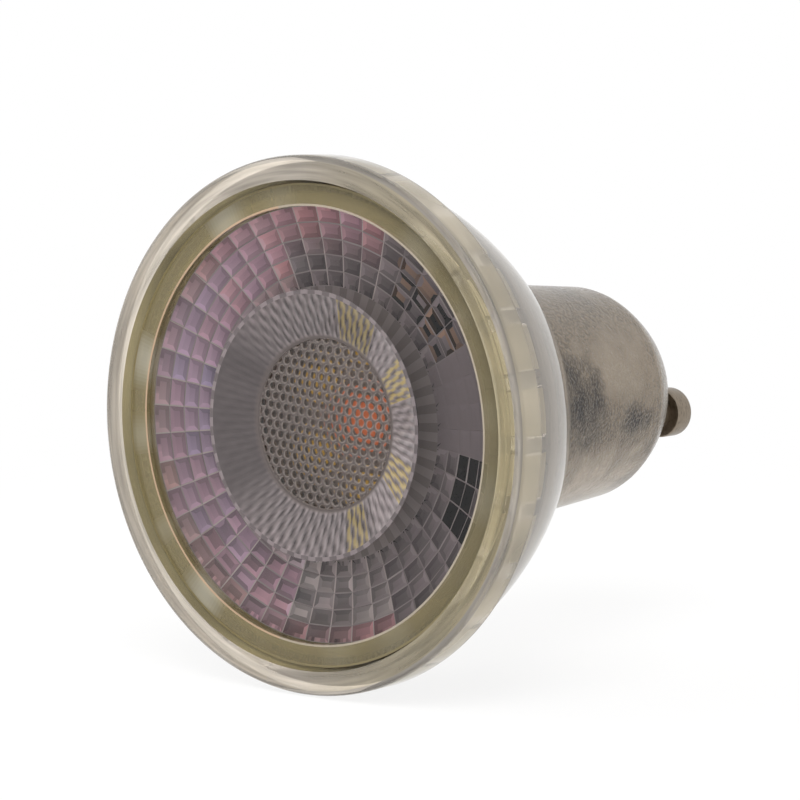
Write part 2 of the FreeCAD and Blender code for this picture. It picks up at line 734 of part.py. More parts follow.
def wire(name, shift):
    """Insulated wire from the driver board, outwards under the LED board and up through its hole."""
    body = doc.addObject("PartDesign::Body", name)
    route = body.newObject("Sketcher::SketchObject", name + "_route")
    attach(route, body, "YZ_Plane", "-" + ref(shift))
    draw(route, [
        ("wire_lift", "wire_start"),
        ("wire_lift", "wire_run_start", "wire_bend", 1),
        ("wire_lift_end", "wire_run"),
        ("wire_reach_start", "wire_run", "wire_bend", -1),
        ("wire_reach", "wire_rise"),
        ("wire_reach", "wire_top"),
    ], closed=False)
    section = body.newObject("Sketcher::SketchObject", name + "_section")
    attach(section, body, "XY_Plane", "Places.wire_start")
    centre = FreeCAD.Vector(-val(shift), val("wire_lift"), 0)
    ring = section.addGeometry(Part.Circle(centre, FreeCAD.Vector(0, 0, 1), val("wire_radius")), False)
    for label, kind, where, alias in (
        ("radius", "Radius", (ring,), "wire_radius"),
        ("across", "DistanceX", (ring, 3, -1, 1), shift),
        ("lift", "DistanceY", (-1, 1, ring, 3), "wire_lift"),
    ):
        at = section.addConstraint(Sketcher.Constraint(kind, *where, val(alias)))
        section.renameConstraint(at, label)
        section.setExpression("Constraints." + label, ref(alias))
    doc.recompute()
    pipe = body.newObject("PartDesign::AdditivePipe", name + "_pipe")
    pipe.Profile = section
    pipe.Spine = (route, ["Edge%d" % (i + 1) for i in range(5)])
    route.Visibility = False
    section.Visibility = False
    body.Placement = FreeCAD.Placement(FreeCAD.Vector(), FreeCAD.Rotation(FreeCAD.Vector(0, 0, 1), 180))
    doc.recompute()
    return body


# Supply wires to the LED board, each soldered round its end on the board's front.
for number in (1, 2):
    shift = "wire_shift_%d" % number
    piece("led_wire_%d" % number, wire("wire_%d" % number, shift))
    cone = doc.addObject("Part::Cone", "solder_cone_%d" % number)
    set_all(cone, Radius1="Dims.solder_top", Radius2="Dims.solder_radius", Height="Dims.solder_height")
    set_all(cone, Placement_Base_x=ref(shift), Placement_Base_y="-Places.wire_reach")
    cone.setExpression("Placement.Base.z", "Places.board_front - Dims.solder_height")
    core = cylinder(
        "solder_core_%d" % number, "Dims.wire_radius", "Dims.solder_height",
        ref(shift), "-Places.wire_reach", "Places.board_front - Dims.solder_height")
    piece("solder_%d" % number, minus("solder_ring_%d" % number, cone, core))

# Contact pins riveted through the glass end, each with its lead to the driver board.
for number, angle in ((1, "0"), (2, "180")):
    pin = turned("pin_%d" % number, [
        (None, "rivet_at"),
        ("rivet_radius", "rivet_at"),
        ("rivet_radius", "floor_at"),
        ("shank_radius", "floor_at"),
        ("shank_radius", "body_depth"),
        ("collar_radius", "body_depth"),
        ("collar_radius", "collar_end"),
        ("shank_radius", "collar_end"),
        ("shank_radius", "pin_plane"),
        ("head_radius", "pin_plane"),
        ("head_radius", "head_wall", "head_round", 1),
        ("head_edge", "pin_tip"),
        (None, "pin_tip"),
    ])
    pin.setExpression("Placement.Base.x", "Dims.pin_pitch / 2")
    piece("contact_pin_%d" % number, pin, angle)
    sign = "" if number == 1 else "-"
    lead = cylinder(
        "lead_%d" % number, "Dims.lead_radius", "Places.rivet_at - Places.lead_end",
        sign + "Dims.pin_pitch / 2", "Places.lead_lift", "Places.lead_end")
    piece("pin_lead_%d" % number, lead)

doc.recompute()
for obj in doc.Objects:
    if any(word in obj.State for word in ("Invalid", "Error")):
        raise RuntimeError("%s did not recompute: %s" % (obj.Label, obj.State))
os.makedirs("parts", exist_ok=True)
for node in PIECES:
    shape = node.Shape
    if shape.isNull() or not shape.isValid() or not shape.Solids:
        raise RuntimeError("%s has no valid solid" % node.Label)
    shape.exportStep("parts/%s.step" % node.Label)
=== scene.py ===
import math
import random

import bmesh
import bpy
from bpy.props import FloatProperty, FloatVectorProperty, IntProperty, PointerProperty
from mathutils import Matrix, Vector


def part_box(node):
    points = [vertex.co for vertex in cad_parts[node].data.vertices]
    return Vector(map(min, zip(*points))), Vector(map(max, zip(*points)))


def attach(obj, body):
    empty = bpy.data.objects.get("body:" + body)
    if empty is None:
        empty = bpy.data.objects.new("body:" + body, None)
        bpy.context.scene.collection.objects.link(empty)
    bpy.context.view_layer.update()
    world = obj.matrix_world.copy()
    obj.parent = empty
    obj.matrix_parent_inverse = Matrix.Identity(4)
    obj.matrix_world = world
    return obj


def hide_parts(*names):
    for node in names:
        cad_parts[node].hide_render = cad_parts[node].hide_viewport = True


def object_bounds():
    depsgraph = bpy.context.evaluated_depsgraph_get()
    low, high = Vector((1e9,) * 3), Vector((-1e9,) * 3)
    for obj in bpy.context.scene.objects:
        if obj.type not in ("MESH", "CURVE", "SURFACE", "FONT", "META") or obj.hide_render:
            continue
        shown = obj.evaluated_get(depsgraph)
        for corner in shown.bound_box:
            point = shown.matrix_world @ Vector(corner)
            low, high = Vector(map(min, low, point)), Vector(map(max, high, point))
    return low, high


bl_info = {
    "name": "Spotlight lamp",
    "version": (1, 0, 0),
    "blender": (4, 5, 0),
    "location": "View3D > Sidebar > Lamp",
    "description": "Builds the glass, lens, emitters, pins and finishes of a two-pin reflector lamp",
    "category": "Object",
}

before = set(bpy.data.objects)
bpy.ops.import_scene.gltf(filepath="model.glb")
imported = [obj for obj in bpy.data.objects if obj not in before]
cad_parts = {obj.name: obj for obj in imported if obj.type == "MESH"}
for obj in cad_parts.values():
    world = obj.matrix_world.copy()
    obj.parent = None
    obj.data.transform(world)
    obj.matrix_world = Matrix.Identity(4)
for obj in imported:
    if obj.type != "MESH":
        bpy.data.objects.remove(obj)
CAD_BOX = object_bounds()

# The lamp's axis is Y. Depths are measured back from the front of the rim.
MM = 0.001
RIM_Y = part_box("glass_envelope")[0].y
RIM_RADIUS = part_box("glass_envelope")[1].x
TIP_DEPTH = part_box("contact_pin_1")[1].y - RIM_Y
BASE_TURN = math.radians(30)
SEED = 7
MERGE = 1e-7
HAIR = 0.01 * MM

# Painted light and shade on the neck: centre and reach in mm, strength, and whether the patch is painted light coming
# through the glass rather than a painted shadow of the driver's parts.
NECK_PAINTED_LIGHT_AND_SHADE = (
    ((7.0, -19.0, -10.0), (10.0, 18.0, 8.6), 1.1, True), ((9.6, -15.5, 3.8), (6.5, 8.0, 5.4), 0.36, True),
    ((-9.0, -16.0, -6.0), (6.0, 6.0, 5.0), 0.6, True), ((-3.0, -20.0, 10.5), (5.0, 6.0, 4.0), 0.5, True),
    ((11.6, -23.6, 0.4), (5.2, 6.0, 5.8), 1.4, False), ((11.0, -13.6, -1.8), (4.0, 3.4, 2.4), 0.9, False),
    ((-11.0, -22.0, 2.5), (4.5, 5.5, 6.0), 0.45, False), ((2.0, -14.5, 11.0), (6.0, 4.0, 4.0), 0.35, False),
)


def size(name, description, default):
    """Length that a user may change, with its default in mm."""
    return FloatProperty(name=name, description=description, default=default * MM, unit="LENGTH", precision=5)


def colour(name, description, default):
    """Colour that a user may change."""
    return FloatVectorProperty(
        name=name, description=description, default=default, subtype="COLOR", min=0.0, max=1.0)


class LampGlass(bpy.types.PropertyGroup):
    """Sizes and tint of the pressed-glass body."""
    rim_round: size("Rim round", "Round on the front edge of the rim", 0.5)
    rim_width: size("Rim width", "Width of the flat front of the rim", 2.3)
    flange_height: size("Flange height", "Depth of the straight band behind the rim", 3.6)
    flange_step: size("Flange step", "Step from the band in to the bowl", 0.8)
    seat_depth: size("Seat depth", "Depth of the seat that carries the lens", 2.7)
    seat_width: size("Seat width", "Width of that seat", 1.7)
    ledge_depth: size("Ledge depth", "Depth of the ledge that carries the LED board", 11.8)
    neck_depth: size("Neck depth", "Depth where the bowl meets the neck", 24.0)
    neck_radius: size("Neck radius", "Radius of the neck where it meets the bowl", 12.1)
    base_radius: size("Base radius", "Radius of the neck at its far end", 10.75)
    end_radius: size("End radius", "Radius of the flat end that carries the pins", 8.5)
    body_depth: size("Body depth", "Depth of that flat end", 47.0)
    panel_recess: size("Panel recess", "Depth of the shallow panels pressed inside the band", 0.45)
    panels: IntProperty(name="Panels", description="Panels round the inside of the band", default=24, min=3)
    steps: IntProperty(name="Steps", description="Steps of the turned shape", default=240, min=24)
    rim_tint: colour("Rim tint", "Front of the rim", (0.66, 0.60, 0.52))
    band_tint: colour("Band tint", "Outside of the band behind the rim", (0.64, 0.58, 0.47))
    seat_tint: colour("Seat tint", "Mouth and seat round the lens", (0.31, 0.26, 0.13))
    panel_tint: colour("Panel tint", "Pressed panels inside the band", (0.68, 0.62, 0.44))
    gap_tint: colour("Gap tint", "Glass between the panels", (0.32, 0.285, 0.26))
    bowl_tint: colour("Bowl tint", "Bowl behind the band", (0.62, 0.55, 0.455))
    neck_tint: colour("Neck tint", "Pebbled neck", (0.25, 0.20, 0.146))
    # Painted light: the pale tone of the neck's patches where light comes through.
    painted_light_tint: colour("Pale tint", "Light that comes through the neck", (0.72, 0.62, 0.49))
    edge_tint: colour("Edge tint", "Rounded outer edge of the rim", (0.42, 0.39, 0.35))
    # Painted shadow: the dark tone of the driver's parts seen through the neck.
    shadow_tint: colour("Shadow tint", "Parts of the driver seen through the neck", (0.014, 0.010, 0.009))
    end_tint: colour("End tint", "Bevel and flat end", (0.32, 0.27, 0.21))


class LampLens(bpy.types.PropertyGroup):
    """Sizes and tints of the faceted lens."""
    radius: size("Lens radius", "Outside radius of the lens flange", 22.4)
    front: size("Flange front", "Depth of the front of the flange", 0.9)
    back: size("Flange back", "Depth of the back of the flange", 2.4)
    face: size("Face", "Depth of the flat face inside the flange", 1.35)
    facet_radius: size("Facet radius", "Outside radius of the rear facets", 20.3)
    facet_inner: size("Facet inner radius", "Inside radius of the rear facets", 12.8)
    # The lip carries a painted highlight ring.
    lip: size("Lip", "Pale ring round the mouth of the well", 0.4)
    fringe: size("Fringe", "Fine rings at both edges of the flange", 0.2)
    groove: size("Groove", "Half width of the grooves between the facets", 0.07)
    well_mouth: size("Well mouth", "Radius of the well at the face", 12.2)
    well_radius: size("Well radius", "Radius of the well at its floor", 8.15)
    well_floor: size("Well floor", "Depth of the edge of the well's floor", 3.15)
    dome_height: size("Dome height", "Height of the domed floor", 0.5)
    rib_height: size("Rib height", "Height of the fine ribs on the well's wall", 0.2)
    comb_pitch: size("Comb pitch", "Distance between the honeycomb's cells", 1.01)
    comb_depth: size("Comb depth", "Depth of each cell", 0.24)
    cavity: size("Cavity", "Depth of the ceiling over the emitters", 6.2)
    foot_inner: size("Foot inner radius", "Inside radius of the foot ring", 9.1)
    foot_wall: size("Foot wall", "Wall of the foot ring", 1.5)
    foot_end: size("Foot end", "Depth of the end of the foot ring", 10.3)
    columns: IntProperty(name="Columns", description="Facets round the lens", default=45, min=3)
    tilt: FloatProperty(
        name="Facet tilt", description="Most that a facet leans from its row", default=math.radians(4.0),
        subtype="ANGLE")
    pillow: size("Pillow", "Height of each facet's soft crown", 0.05)
    face_tint: colour("Face tint", "Clear front of the lens", (0.93, 0.90, 0.91))
    flange_tint: colour("Flange tint", "Flange over its bond", (0.32, 0.265, 0.135))
    bond_tint: colour("Bond tint", "Pale patches of the bond under the flange", (0.58, 0.54, 0.42))
    foot_tint: colour("Foot tint", "Foot ring seen through the lens", (0.34, 0.295, 0.285))
    # Painted reflection of the emitters on the well's ribs.
    glint: colour("Glint", "Emitters mirrored in the well's ribs", (0.42, 0.31, 0.05))
    well_tint: colour("Well tint", "Ribbed wall of the well", (0.172, 0.148, 0.150))
    web_tint: colour("Web tint", "Webs of the honeycomb", (0.098, 0.080, 0.076))
    cell_tint: colour("Cell tint", "Cells of the honeycomb", (0.62, 0.54, 0.49))
    # Painted reflections: the facet tints below stand for what the lens shows of the board, of the coated side of the
    # bowl and of the parts behind it.
    grey: colour("Grey facets", "Facets over the plain board", (0.23, 0.195, 0.20))
    rosy: colour("Rosy facets", "Facets over the coated side of the bowl", (0.66, 0.33, 0.35))
    lavender: colour("Lavender facets", "Second tint over the coated side", (0.42, 0.34, 0.50))
    peach: colour("Peach facets", "Third tint over the coated side", (0.62, 0.41, 0.30))
    # Painted highlight on the grooves, also blended into some facets.
    pale: colour("Pale grooves", "Grooves between the facets", (0.52, 0.46, 0.44))
    smoke: colour("Smoke facets", "Facets over the brown parts of the board", (0.055, 0.032, 0.02))
    dark: colour("Dark facets", "Facets over the black parts of the board", (0.006, 0.005, 0.006))


class LampEmitters(bpy.types.PropertyGroup):
    """Sizes and colours of the emitters."""
    ring: size("Ring", "Radius of the ring of emitters", 6.5)
    board: size("Board", "Depth of the front of the LED board", 10.4)
    length: size("Length", "Emitter along the radius", 2.8)
    width: size("Width", "Emitter across the radius", 3.5)
    height: size("Height", "Emitter above the board", 0.7)
    frame_width: size("Frame", "Frame round each emitter's cup", 0.4)
    cup: size("Cup", "Depth of the cup", 0.3)
    centre_side: size("Centre side", "Side of the emitter in the middle", 5.0)
    centre_height: size("Centre height", "Height of the emitter in the middle", 1.0)
    centre_cup: size("Centre cup", "Radius of its round cup", 2.4)
    centre_recess: size("Centre recess", "Depth of its round cup", 0.4)
    yellow: colour("Yellow", "Phosphor of the ring", (0.66, 0.42, 0.01))
    orange: colour("Orange", "Phosphor in the middle", (0.88, 0.17, 0.002))
    # Painted glow: the phosphor gives off a little light of its own though the lamp is off.
    glow: FloatProperty(name="Glow", description="Light that the phosphor gives back", default=0.42)
    white: colour("Frame white", "Moulded emitter frames", (0.60, 0.56, 0.50))


class LampPins(bpy.types.PropertyGroup):
    """Sizes and colour of the contact pins."""
    pitch: size("Pitch", "Distance between the pins", 10.0)
    shank: size("Shank", "Radius of the shank", 1.5)
    collar: size("Collar", "Radius of the collar on the glass", 2.1)
    collar_height: size("Collar height", "Height of that collar", 0.6)
    head: size("Head", "Radius of the head", 2.5)
    head_height: size("Head height", "Height of the head", 2.6)
    rivet: size("Rivet", "Radius of the riveted end inside", 2.2)
    rivet_height: size("Rivet height", "Height of the riveted end", 0.7)
    floor: size("Glass floor", "Thickness of the glass that the pins go through", 2.6)
    metal: colour("Pin metal", "Dulled nickel of the pins", (0.24, 0.20, 0.155))


class LampStage(bpy.types.PropertyGroup):
    """Camera, floor and light."""
    azimuth: FloatProperty(
        name="Azimuth", description="Camera's turn round the lamp", default=math.radians(38.83), subtype="ANGLE")
    elevation: FloatProperty(
        name="Elevation", description="Camera's height angle", default=math.radians(5.58), subtype="ANGLE")
    distance: size("Distance", "Camera to the middle of the rim", 320.0)
    across: size("Across", "Camera's aim to the right of the rim's middle", 9.024)
    upward: size("Upward", "Camera's aim above the rim's middle", 2.483)
    lens: FloatProperty(name="Lens", description="Focal length on a 36 mm sensor", default=156.5)
    floor_gap: size("Floor gap", "Gap between the rim and the floor", 0.15)
    floor_tone: colour("Floor tone", "Pale floor", (0.93, 0.93, 0.93))


def y_at(depth):
    """Place along the axis of a depth behind the rim."""
    return RIM_Y + depth


def polar(point):
    """Distance of a point from the lamp's axis, and its angle in degrees from +X towards +Z."""
    return math.hypot(point.x, point.z), math.degrees(math.atan2(point.z, point.x))


def clamp(value):
    """A value held between nought and one."""
    return min(1.0, max(0.0, value))


def within(angle, sector):
    """Whether an angle lies inside a sector."""
    return sector[0] < angle < sector[1]


def outline(bm, points):
    """Line of straight edges through (radius, depth) points, in the half plane that spin_round turns."""
    verts = [bm.verts.new((radius, y_at(depth), 0.0)) for radius, depth in points]
    return [bm.edges.new(pair) for pair in zip(verts, verts[1:])]


def bulge(bm, edge, height, cuts):
    """Bend one edge of an outline into an arc that stands off its chord."""
    start = edge.verts[0].co.copy()
    chord = edge.verts[1].co - start
    side = Vector((chord.y, -chord.x, 0.0)).normalized()
    made = bmesh.ops.subdivide_edges(bm, edges=[edge], cuts=cuts)
    for vert in [item for item in made["geom_inner"] if isinstance(item, bmesh.types.BMVert)]:
        along = (vert.co - start).dot(chord) / chord.length_squared
        vert.co += side * height * 4 * along * (1 - along)


def divide(bm, edge, cuts):
    """Cut one edge of an outline into equal lengths."""
    bmesh.ops.subdivide_edges(bm, edges=[edge], cuts=cuts)


def spin_round(bm, steps):
    """Turn the outline once round the lamp's axis and close the seam."""
    bmesh.ops.spin(
        bm, geom=bm.verts[:] + bm.edges[:], cent=(0, 0, 0), axis=(0, 1, 0), dvec=(0, 0, 0),
        angle=math.tau, steps=steps, use_merge=True, use_normal_flip=False, use_duplicate=False)
    bmesh.ops.remove_doubles(bm, verts=bm.verts[:], dist=MERGE)
    bmesh.ops.recalc_face_normals(bm, faces=bm.faces[:])


def pull(bm, edges, shift):
    """Extrude a loop of edges by a shift and return the loop at its far end."""
    made = bmesh.ops.extrude_edge_only(bm, edges=edges)["geom"]
    moved = {item for item in made if isinstance(item, bmesh.types.BMVert)}
    bmesh.ops.translate(bm, vec=shift, verts=list(moved))
    return [item for item in made if isinstance(item, bmesh.types.BMEdge) and moved.issuperset(item.verts)]


def soften(bm, limit):
    """Smooth shading, with edges sharper than the limit kept crisp."""
    for face in bm.faces:
        face.smooth = True
    for edge in bm.edges:
        edge.smooth = not edge.is_manifold or edge.calc_face_angle(0.0) < limit


def finish_piece(bm, name, material, slot, *nodes):
    """Make the object of a finished mesh, standing for its CAD nodes."""
    mesh = bpy.data.meshes.new(name)
    bm.to_mesh(mesh)
    bm.free()
    piece = bpy.data.objects.new(name, mesh)
    bpy.context.scene.collection.objects.link(piece)
    mesh.materials.append(material)
    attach(piece, "root")
    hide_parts(*nodes)
    return piece


def turn_about_axis(bm, angle):
    """Turn the whole mesh about the lamp's axis."""
    bmesh.ops.rotate(bm, verts=bm.verts[:], cent=(0, 0, 0), matrix=Matrix.Rotation(angle, 3, "Y"))


class Finish:
    """Material with a principled shader and the nodes that feed it from Object coordinates."""

    def __init__(self, name):
        self.material = bpy.data.materials.new(name)
        self.material.use_nodes = True
        self.tree = self.material.node_tree
        self.shader = self.tree.nodes["Principled BSDF"]
        self.place = self.add("ShaderNodeTexCoord").outputs["Object"]

    def add(self, kind, **settings):
        """New node of the material, with its settings."""
        node = self.tree.nodes.new(kind)
        for key, value in settings.items():
            setattr(node, key, value)
        return node

    def link(self, output, socket):
        self.tree.links.new(output, socket)

    def set(self, **values):
        """Constants on the shader's own sockets."""
        for key, value in values.items():
            self.shader.inputs[key.replace("_", " ")].default_value = value

    def feed(self, key, output):
        """Link an output to one of the shader's sockets."""
        self.link(output, self.shader.inputs[key])

    def noise(self, scale, detail=3.0, stretch=None, where=None):
        """Soft noise; stretch scales the coordinates to draw it out along an axis."""
        node = self.add("ShaderNodeTexNoise")
        node.inputs["Scale"].default_value = scale
        node.inputs["Detail"].default_value = detail
        where = where or self.place
        if stretch:
            mapping = self.add("ShaderNodeMapping")
            mapping.inputs["Scale"].default_value = stretch
            self.link(self.place, mapping.inputs["Vector"])
            where = mapping.outputs["Vector"]
        self.link(where, node.inputs["Vector"])
        return node.outputs["Fac"]

    def vector(self, operation, first, second):
        """Node that works on an output and a plain vector."""
        node = self.add("ShaderNodeVectorMath", operation=operation)
        self.link(first, node.inputs[0])
        node.inputs[1].default_value = second
        return node

    def near(self, place, reach):
        """One close to a place and nothing beyond its uneven reach, which may differ along X, Y and Z."""
        wander = self.add("ShaderNodeTexNoise")
        wander.inputs["Scale"].default_value = 280.0
        self.link(self.place, wander.inputs["Vector"])
        stray = self.vector("SUBTRACT", wander.outputs["Color"], (0.5, 0.5, 0.5)).outputs["Vector"]
        stray = self.vector("MULTIPLY", stray, [length * 1.6 for length in reach])
        away = self.add("ShaderNodeVectorMath", operation="ADD")
        self.link(self.place, away.inputs[0])
        self.link(stray.outputs["Vector"], away.inputs[1])
        apart = self.vector("SUBTRACT", away.outputs["Vector"], place).outputs["Vector"]
        apart = self.vector("DIVIDE", apart, reach).outputs["Vector"]
        away = self.add("ShaderNodeVectorMath", operation="LENGTH")
        self.link(apart, away.inputs[0])
        return self.remap(away.outputs["Value"], 0.25, 1.0, 1.0, 0.0)

    def rings(self, turns, pitch):
        """Coordinates for streaks that run round the lamp's axis, a pitch apart."""
        x, _, z = self.axes()
        radius = self.radius()
        node = self.add("ShaderNodeCombineXYZ")
        for part, socket in ((x, "X"), (z, "Y")):
            self.link(self.math("MULTIPLY", self.math("DIVIDE", part, radius), turns), node.inputs[socket])
        self.link(self.math("DIVIDE", radius, pitch), node.inputs["Z"])
        return node.outputs["Vector"]

    def dimmed(self, shade, factor):
        """A colour made lighter or darker from place to place."""
        node = self.add("ShaderNodeVectorMath", operation="SCALE")
        self.link(shade, node.inputs[0])
        self.link(factor, node.inputs["Scale"])
        return node.outputs["Vector"]

    def remap(self, value, low, high, to_low, to_high):
        """Value taken from one range to another and held there."""
        node = self.add("ShaderNodeMapRange", clamp=True)
        for key, number in zip(("From Min", "From Max", "To Min", "To Max"), (low, high, to_low, to_high)):
            node.inputs[key].default_value = number
        self.link(value, node.inputs["Value"])
        return node.outputs["Result"]

    def math(self, operation, first, second):
        """Sum of two values; each is an output or a plain number."""
        node = self.add("ShaderNodeMath", operation=operation)
        for socket, value in zip(node.inputs, (first, second)):
            if isinstance(value, (int, float)):
                socket.default_value = value
            else:
                self.link(value, socket)
        return node.outputs["Value"]

    def ramp(self, value, *stops):
        """Colours by value: (position, colour) stops."""
        node = self.add("ShaderNodeValToRGB")
        elements = node.color_ramp.elements
        while len(elements) < len(stops):
            elements.new(0.5)
        for element, (position, shade) in zip(elements, stops):
            element.position = position
            element.color = (*shade, 1.0)
        self.link(value, node.inputs["Fac"])
        return node.outputs["Color"]

    def mix(self, factor, first, second):
        """Blend two colours; each is an output or a plain colour."""
        node = self.add("ShaderNodeMix", data_type="RGBA")
        self.link(factor, node.inputs["Factor"])
        for socket, value in zip((node.inputs[6], node.inputs[7]), (first, second)):
            if isinstance(value, bpy.types.NodeSocket):
                self.link(value, socket)
            else:
                socket.default_value = (*value, 1.0)
        return node.outputs[2]

    def axes(self):
        """X, Y and Z of a place on the part."""
        node = self.add("ShaderNodeSeparateXYZ")
        self.link(self.place, node.inputs["Vector"])
        return node.outputs["X"], node.outputs["Y"], node.outputs["Z"]

    def radius(self, across="XZ"):
        """Distance from the lamp's axis, or from the line that two other axes lie across."""
        axes = dict(zip("XYZ", self.axes()))
        squares = [self.math("MULTIPLY", axes[name], axes[name]) for name in across]
        return self.math("SQRT", self.math("ADD", *squares), 0.0)

    def bump(self, height, strength, distance):
        """Fine relief on the shader's normal."""
        node = self.add("ShaderNodeBump")
        node.inputs["Strength"].default_value = strength
        node.inputs["Distance"].default_value = distance
        self.link(height, node.inputs["Height"])
        self.feed("Normal", node.outputs["Normal"])


def blended(first, second, share):
    """A colour part of the way from one to another."""
    return tuple(a + (b - a) * share for a, b in zip(first, second))


def shaded(shade, factor):
    """A lighter or darker version of a colour."""
    return tuple(min(1.0, channel * factor) for channel in shade)


def mottled(name, shade, grain, roughness, bump=0.15, spread=0.25, stretch=None, metallic=0.0, glow=0.0):
    """Plain finish with a little variation of tone, gloss and surface at one grain size."""
    finish = Finish(name)
    grains = finish.noise(1.0 / grain, 4.0, stretch)
    tone = finish.ramp(grains, (0.25, shaded(shade, 1 - spread)), (0.75, shaded(shade, 1 + spread)))
    finish.feed("Base Color", tone)
    # Painted glow: the surface sends out light in its own tone.
    if glow:
        finish.feed("Emission Color", tone)
        finish.set(Emission_Strength=glow)
    finish.feed("Roughness", finish.remap(grains, 0.2, 0.8, max(0.02, roughness - 0.12), roughness + 0.12))
    finish.bump(grains, bump, grain * 0.3)
    finish.set(Metallic=metallic)
    return finish


def paint(bm, rule):
    """Keep with each face the tint and the clearness that a rule gives it."""
    layer = bm.loops.layers.float_color.new("tint")
    for face in bm.faces:
        shade = rule(face)
        for loop in face.loops:
            loop[layer] = shade
    return layer


def painted(name):
    """Finish whose colour and clearness come from the mesh's own tint."""
    finish = Finish(name)
    tint = finish.add("ShaderNodeAttribute", attribute_name="tint")
    return finish, tint.outputs["Color"], tint.outputs["Alpha"]


def glass_finish(glass):
    """Pressed glass: clear with streaks round the front, pebbled at the neck, where painted light and painted shadows
    of the driver's parts lie over the pebbles.
    """
    finish, tint, clearness = painted("pressed glass")
    _, y, _ = finish.axes()
    neck_y = y_at(glass.neck_depth)
    neck = finish.remap(y, neck_y - 2 * MM, neck_y + 1.5 * MM, 0.0, 1.0)
    front = finish.remap(y, y_at(3 * MM), y_at(9 * MM), 1.0, 0.0)
    streaks = finish.noise(1.0, 2.0, where=finish.rings(2.2, 0.55 * MM))
    streaks = finish.math("MULTIPLY", finish.remap(streaks, 0.3, 0.7, -0.35, 0.3), front)
    pebbles = finish.noise(3500.0, 1.0)
    stipple = finish.math("MULTIPLY", finish.remap(pebbles, 0.4, 0.6, -0.22, 0.2), neck)
    clouds = finish.math("MULTIPLY", finish.remap(finish.noise(130.0, 2.0), 0.35, 0.65, -0.08, 0.1), neck)
    tone = finish.math("ADD", finish.math("ADD", streaks, stipple), finish.math("ADD", clouds, 1.0))
    shade = finish.dimmed(tint, tone)
    # Painted light and painted shadow: each patch lays a pale or a dark tone, speckled by the pebbles.
    for place, reach, strength, lit in NECK_PAINTED_LIGHT_AND_SHADE:
        patch = finish.near([value * MM for value in place], [value * MM for value in reach])
        speckled = finish.remap(pebbles, 0.4, 0.58, min(1.0, strength * 1.2), strength * 0.5)
        inside = tuple(glass.painted_light_tint if lit else glass.shadow_tint)
        shade = finish.mix(finish.math("MULTIPLY", patch, speckled), shade, inside)
    finish.feed("Base Color", shade)
    finish.feed("Transmission Weight", clearness)
    finish.feed("Roughness", finish.remap(neck, 0.0, 1.0, 0.04, 0.13))
    waves = finish.math("MULTIPLY", finish.noise(160.0, 2.0), 0.3)
    finish.bump(finish.math("ADD", finish.math("MULTIPLY", pebbles, neck), waves), 0.9, 0.15 * MM)
    finish.set(IOR=1.4, Specular_IOR_Level=0.4)
    return finish.material


def lens_finish(lens):
    """Moulded lens: clear face, facets behind it tinted with painted reflections, grey webs round clear honeycomb
    cells.
    """
    finish, tint, clearness = painted("moulded lens")
    web = finish.add("ShaderNodeAttribute", attribute_name="web").outputs["Fac"]
    cloud = finish.remap(finish.noise(420.0, 2.0), 0.35, 0.65, 0.0, 0.25)
    shade = finish.mix(cloud, tint, finish.mix(cloud, tint, tuple(lens.grey)))
    finish.feed("Base Color", finish.mix(web, shade, tuple(lens.web_tint)))
    finish.feed("Transmission Weight", finish.math("SUBTRACT", clearness, finish.math("MULTIPLY", web, 0.8)))
    finish.feed("Roughness", finish.remap(finish.noise(400.0, 2.0), 0.3, 0.7, 0.02, 0.07))
    finish.bump(finish.noise(260.0, 2.0), 0.05, 0.2 * MM)
    finish.set(IOR=1.38)
    return finish.material


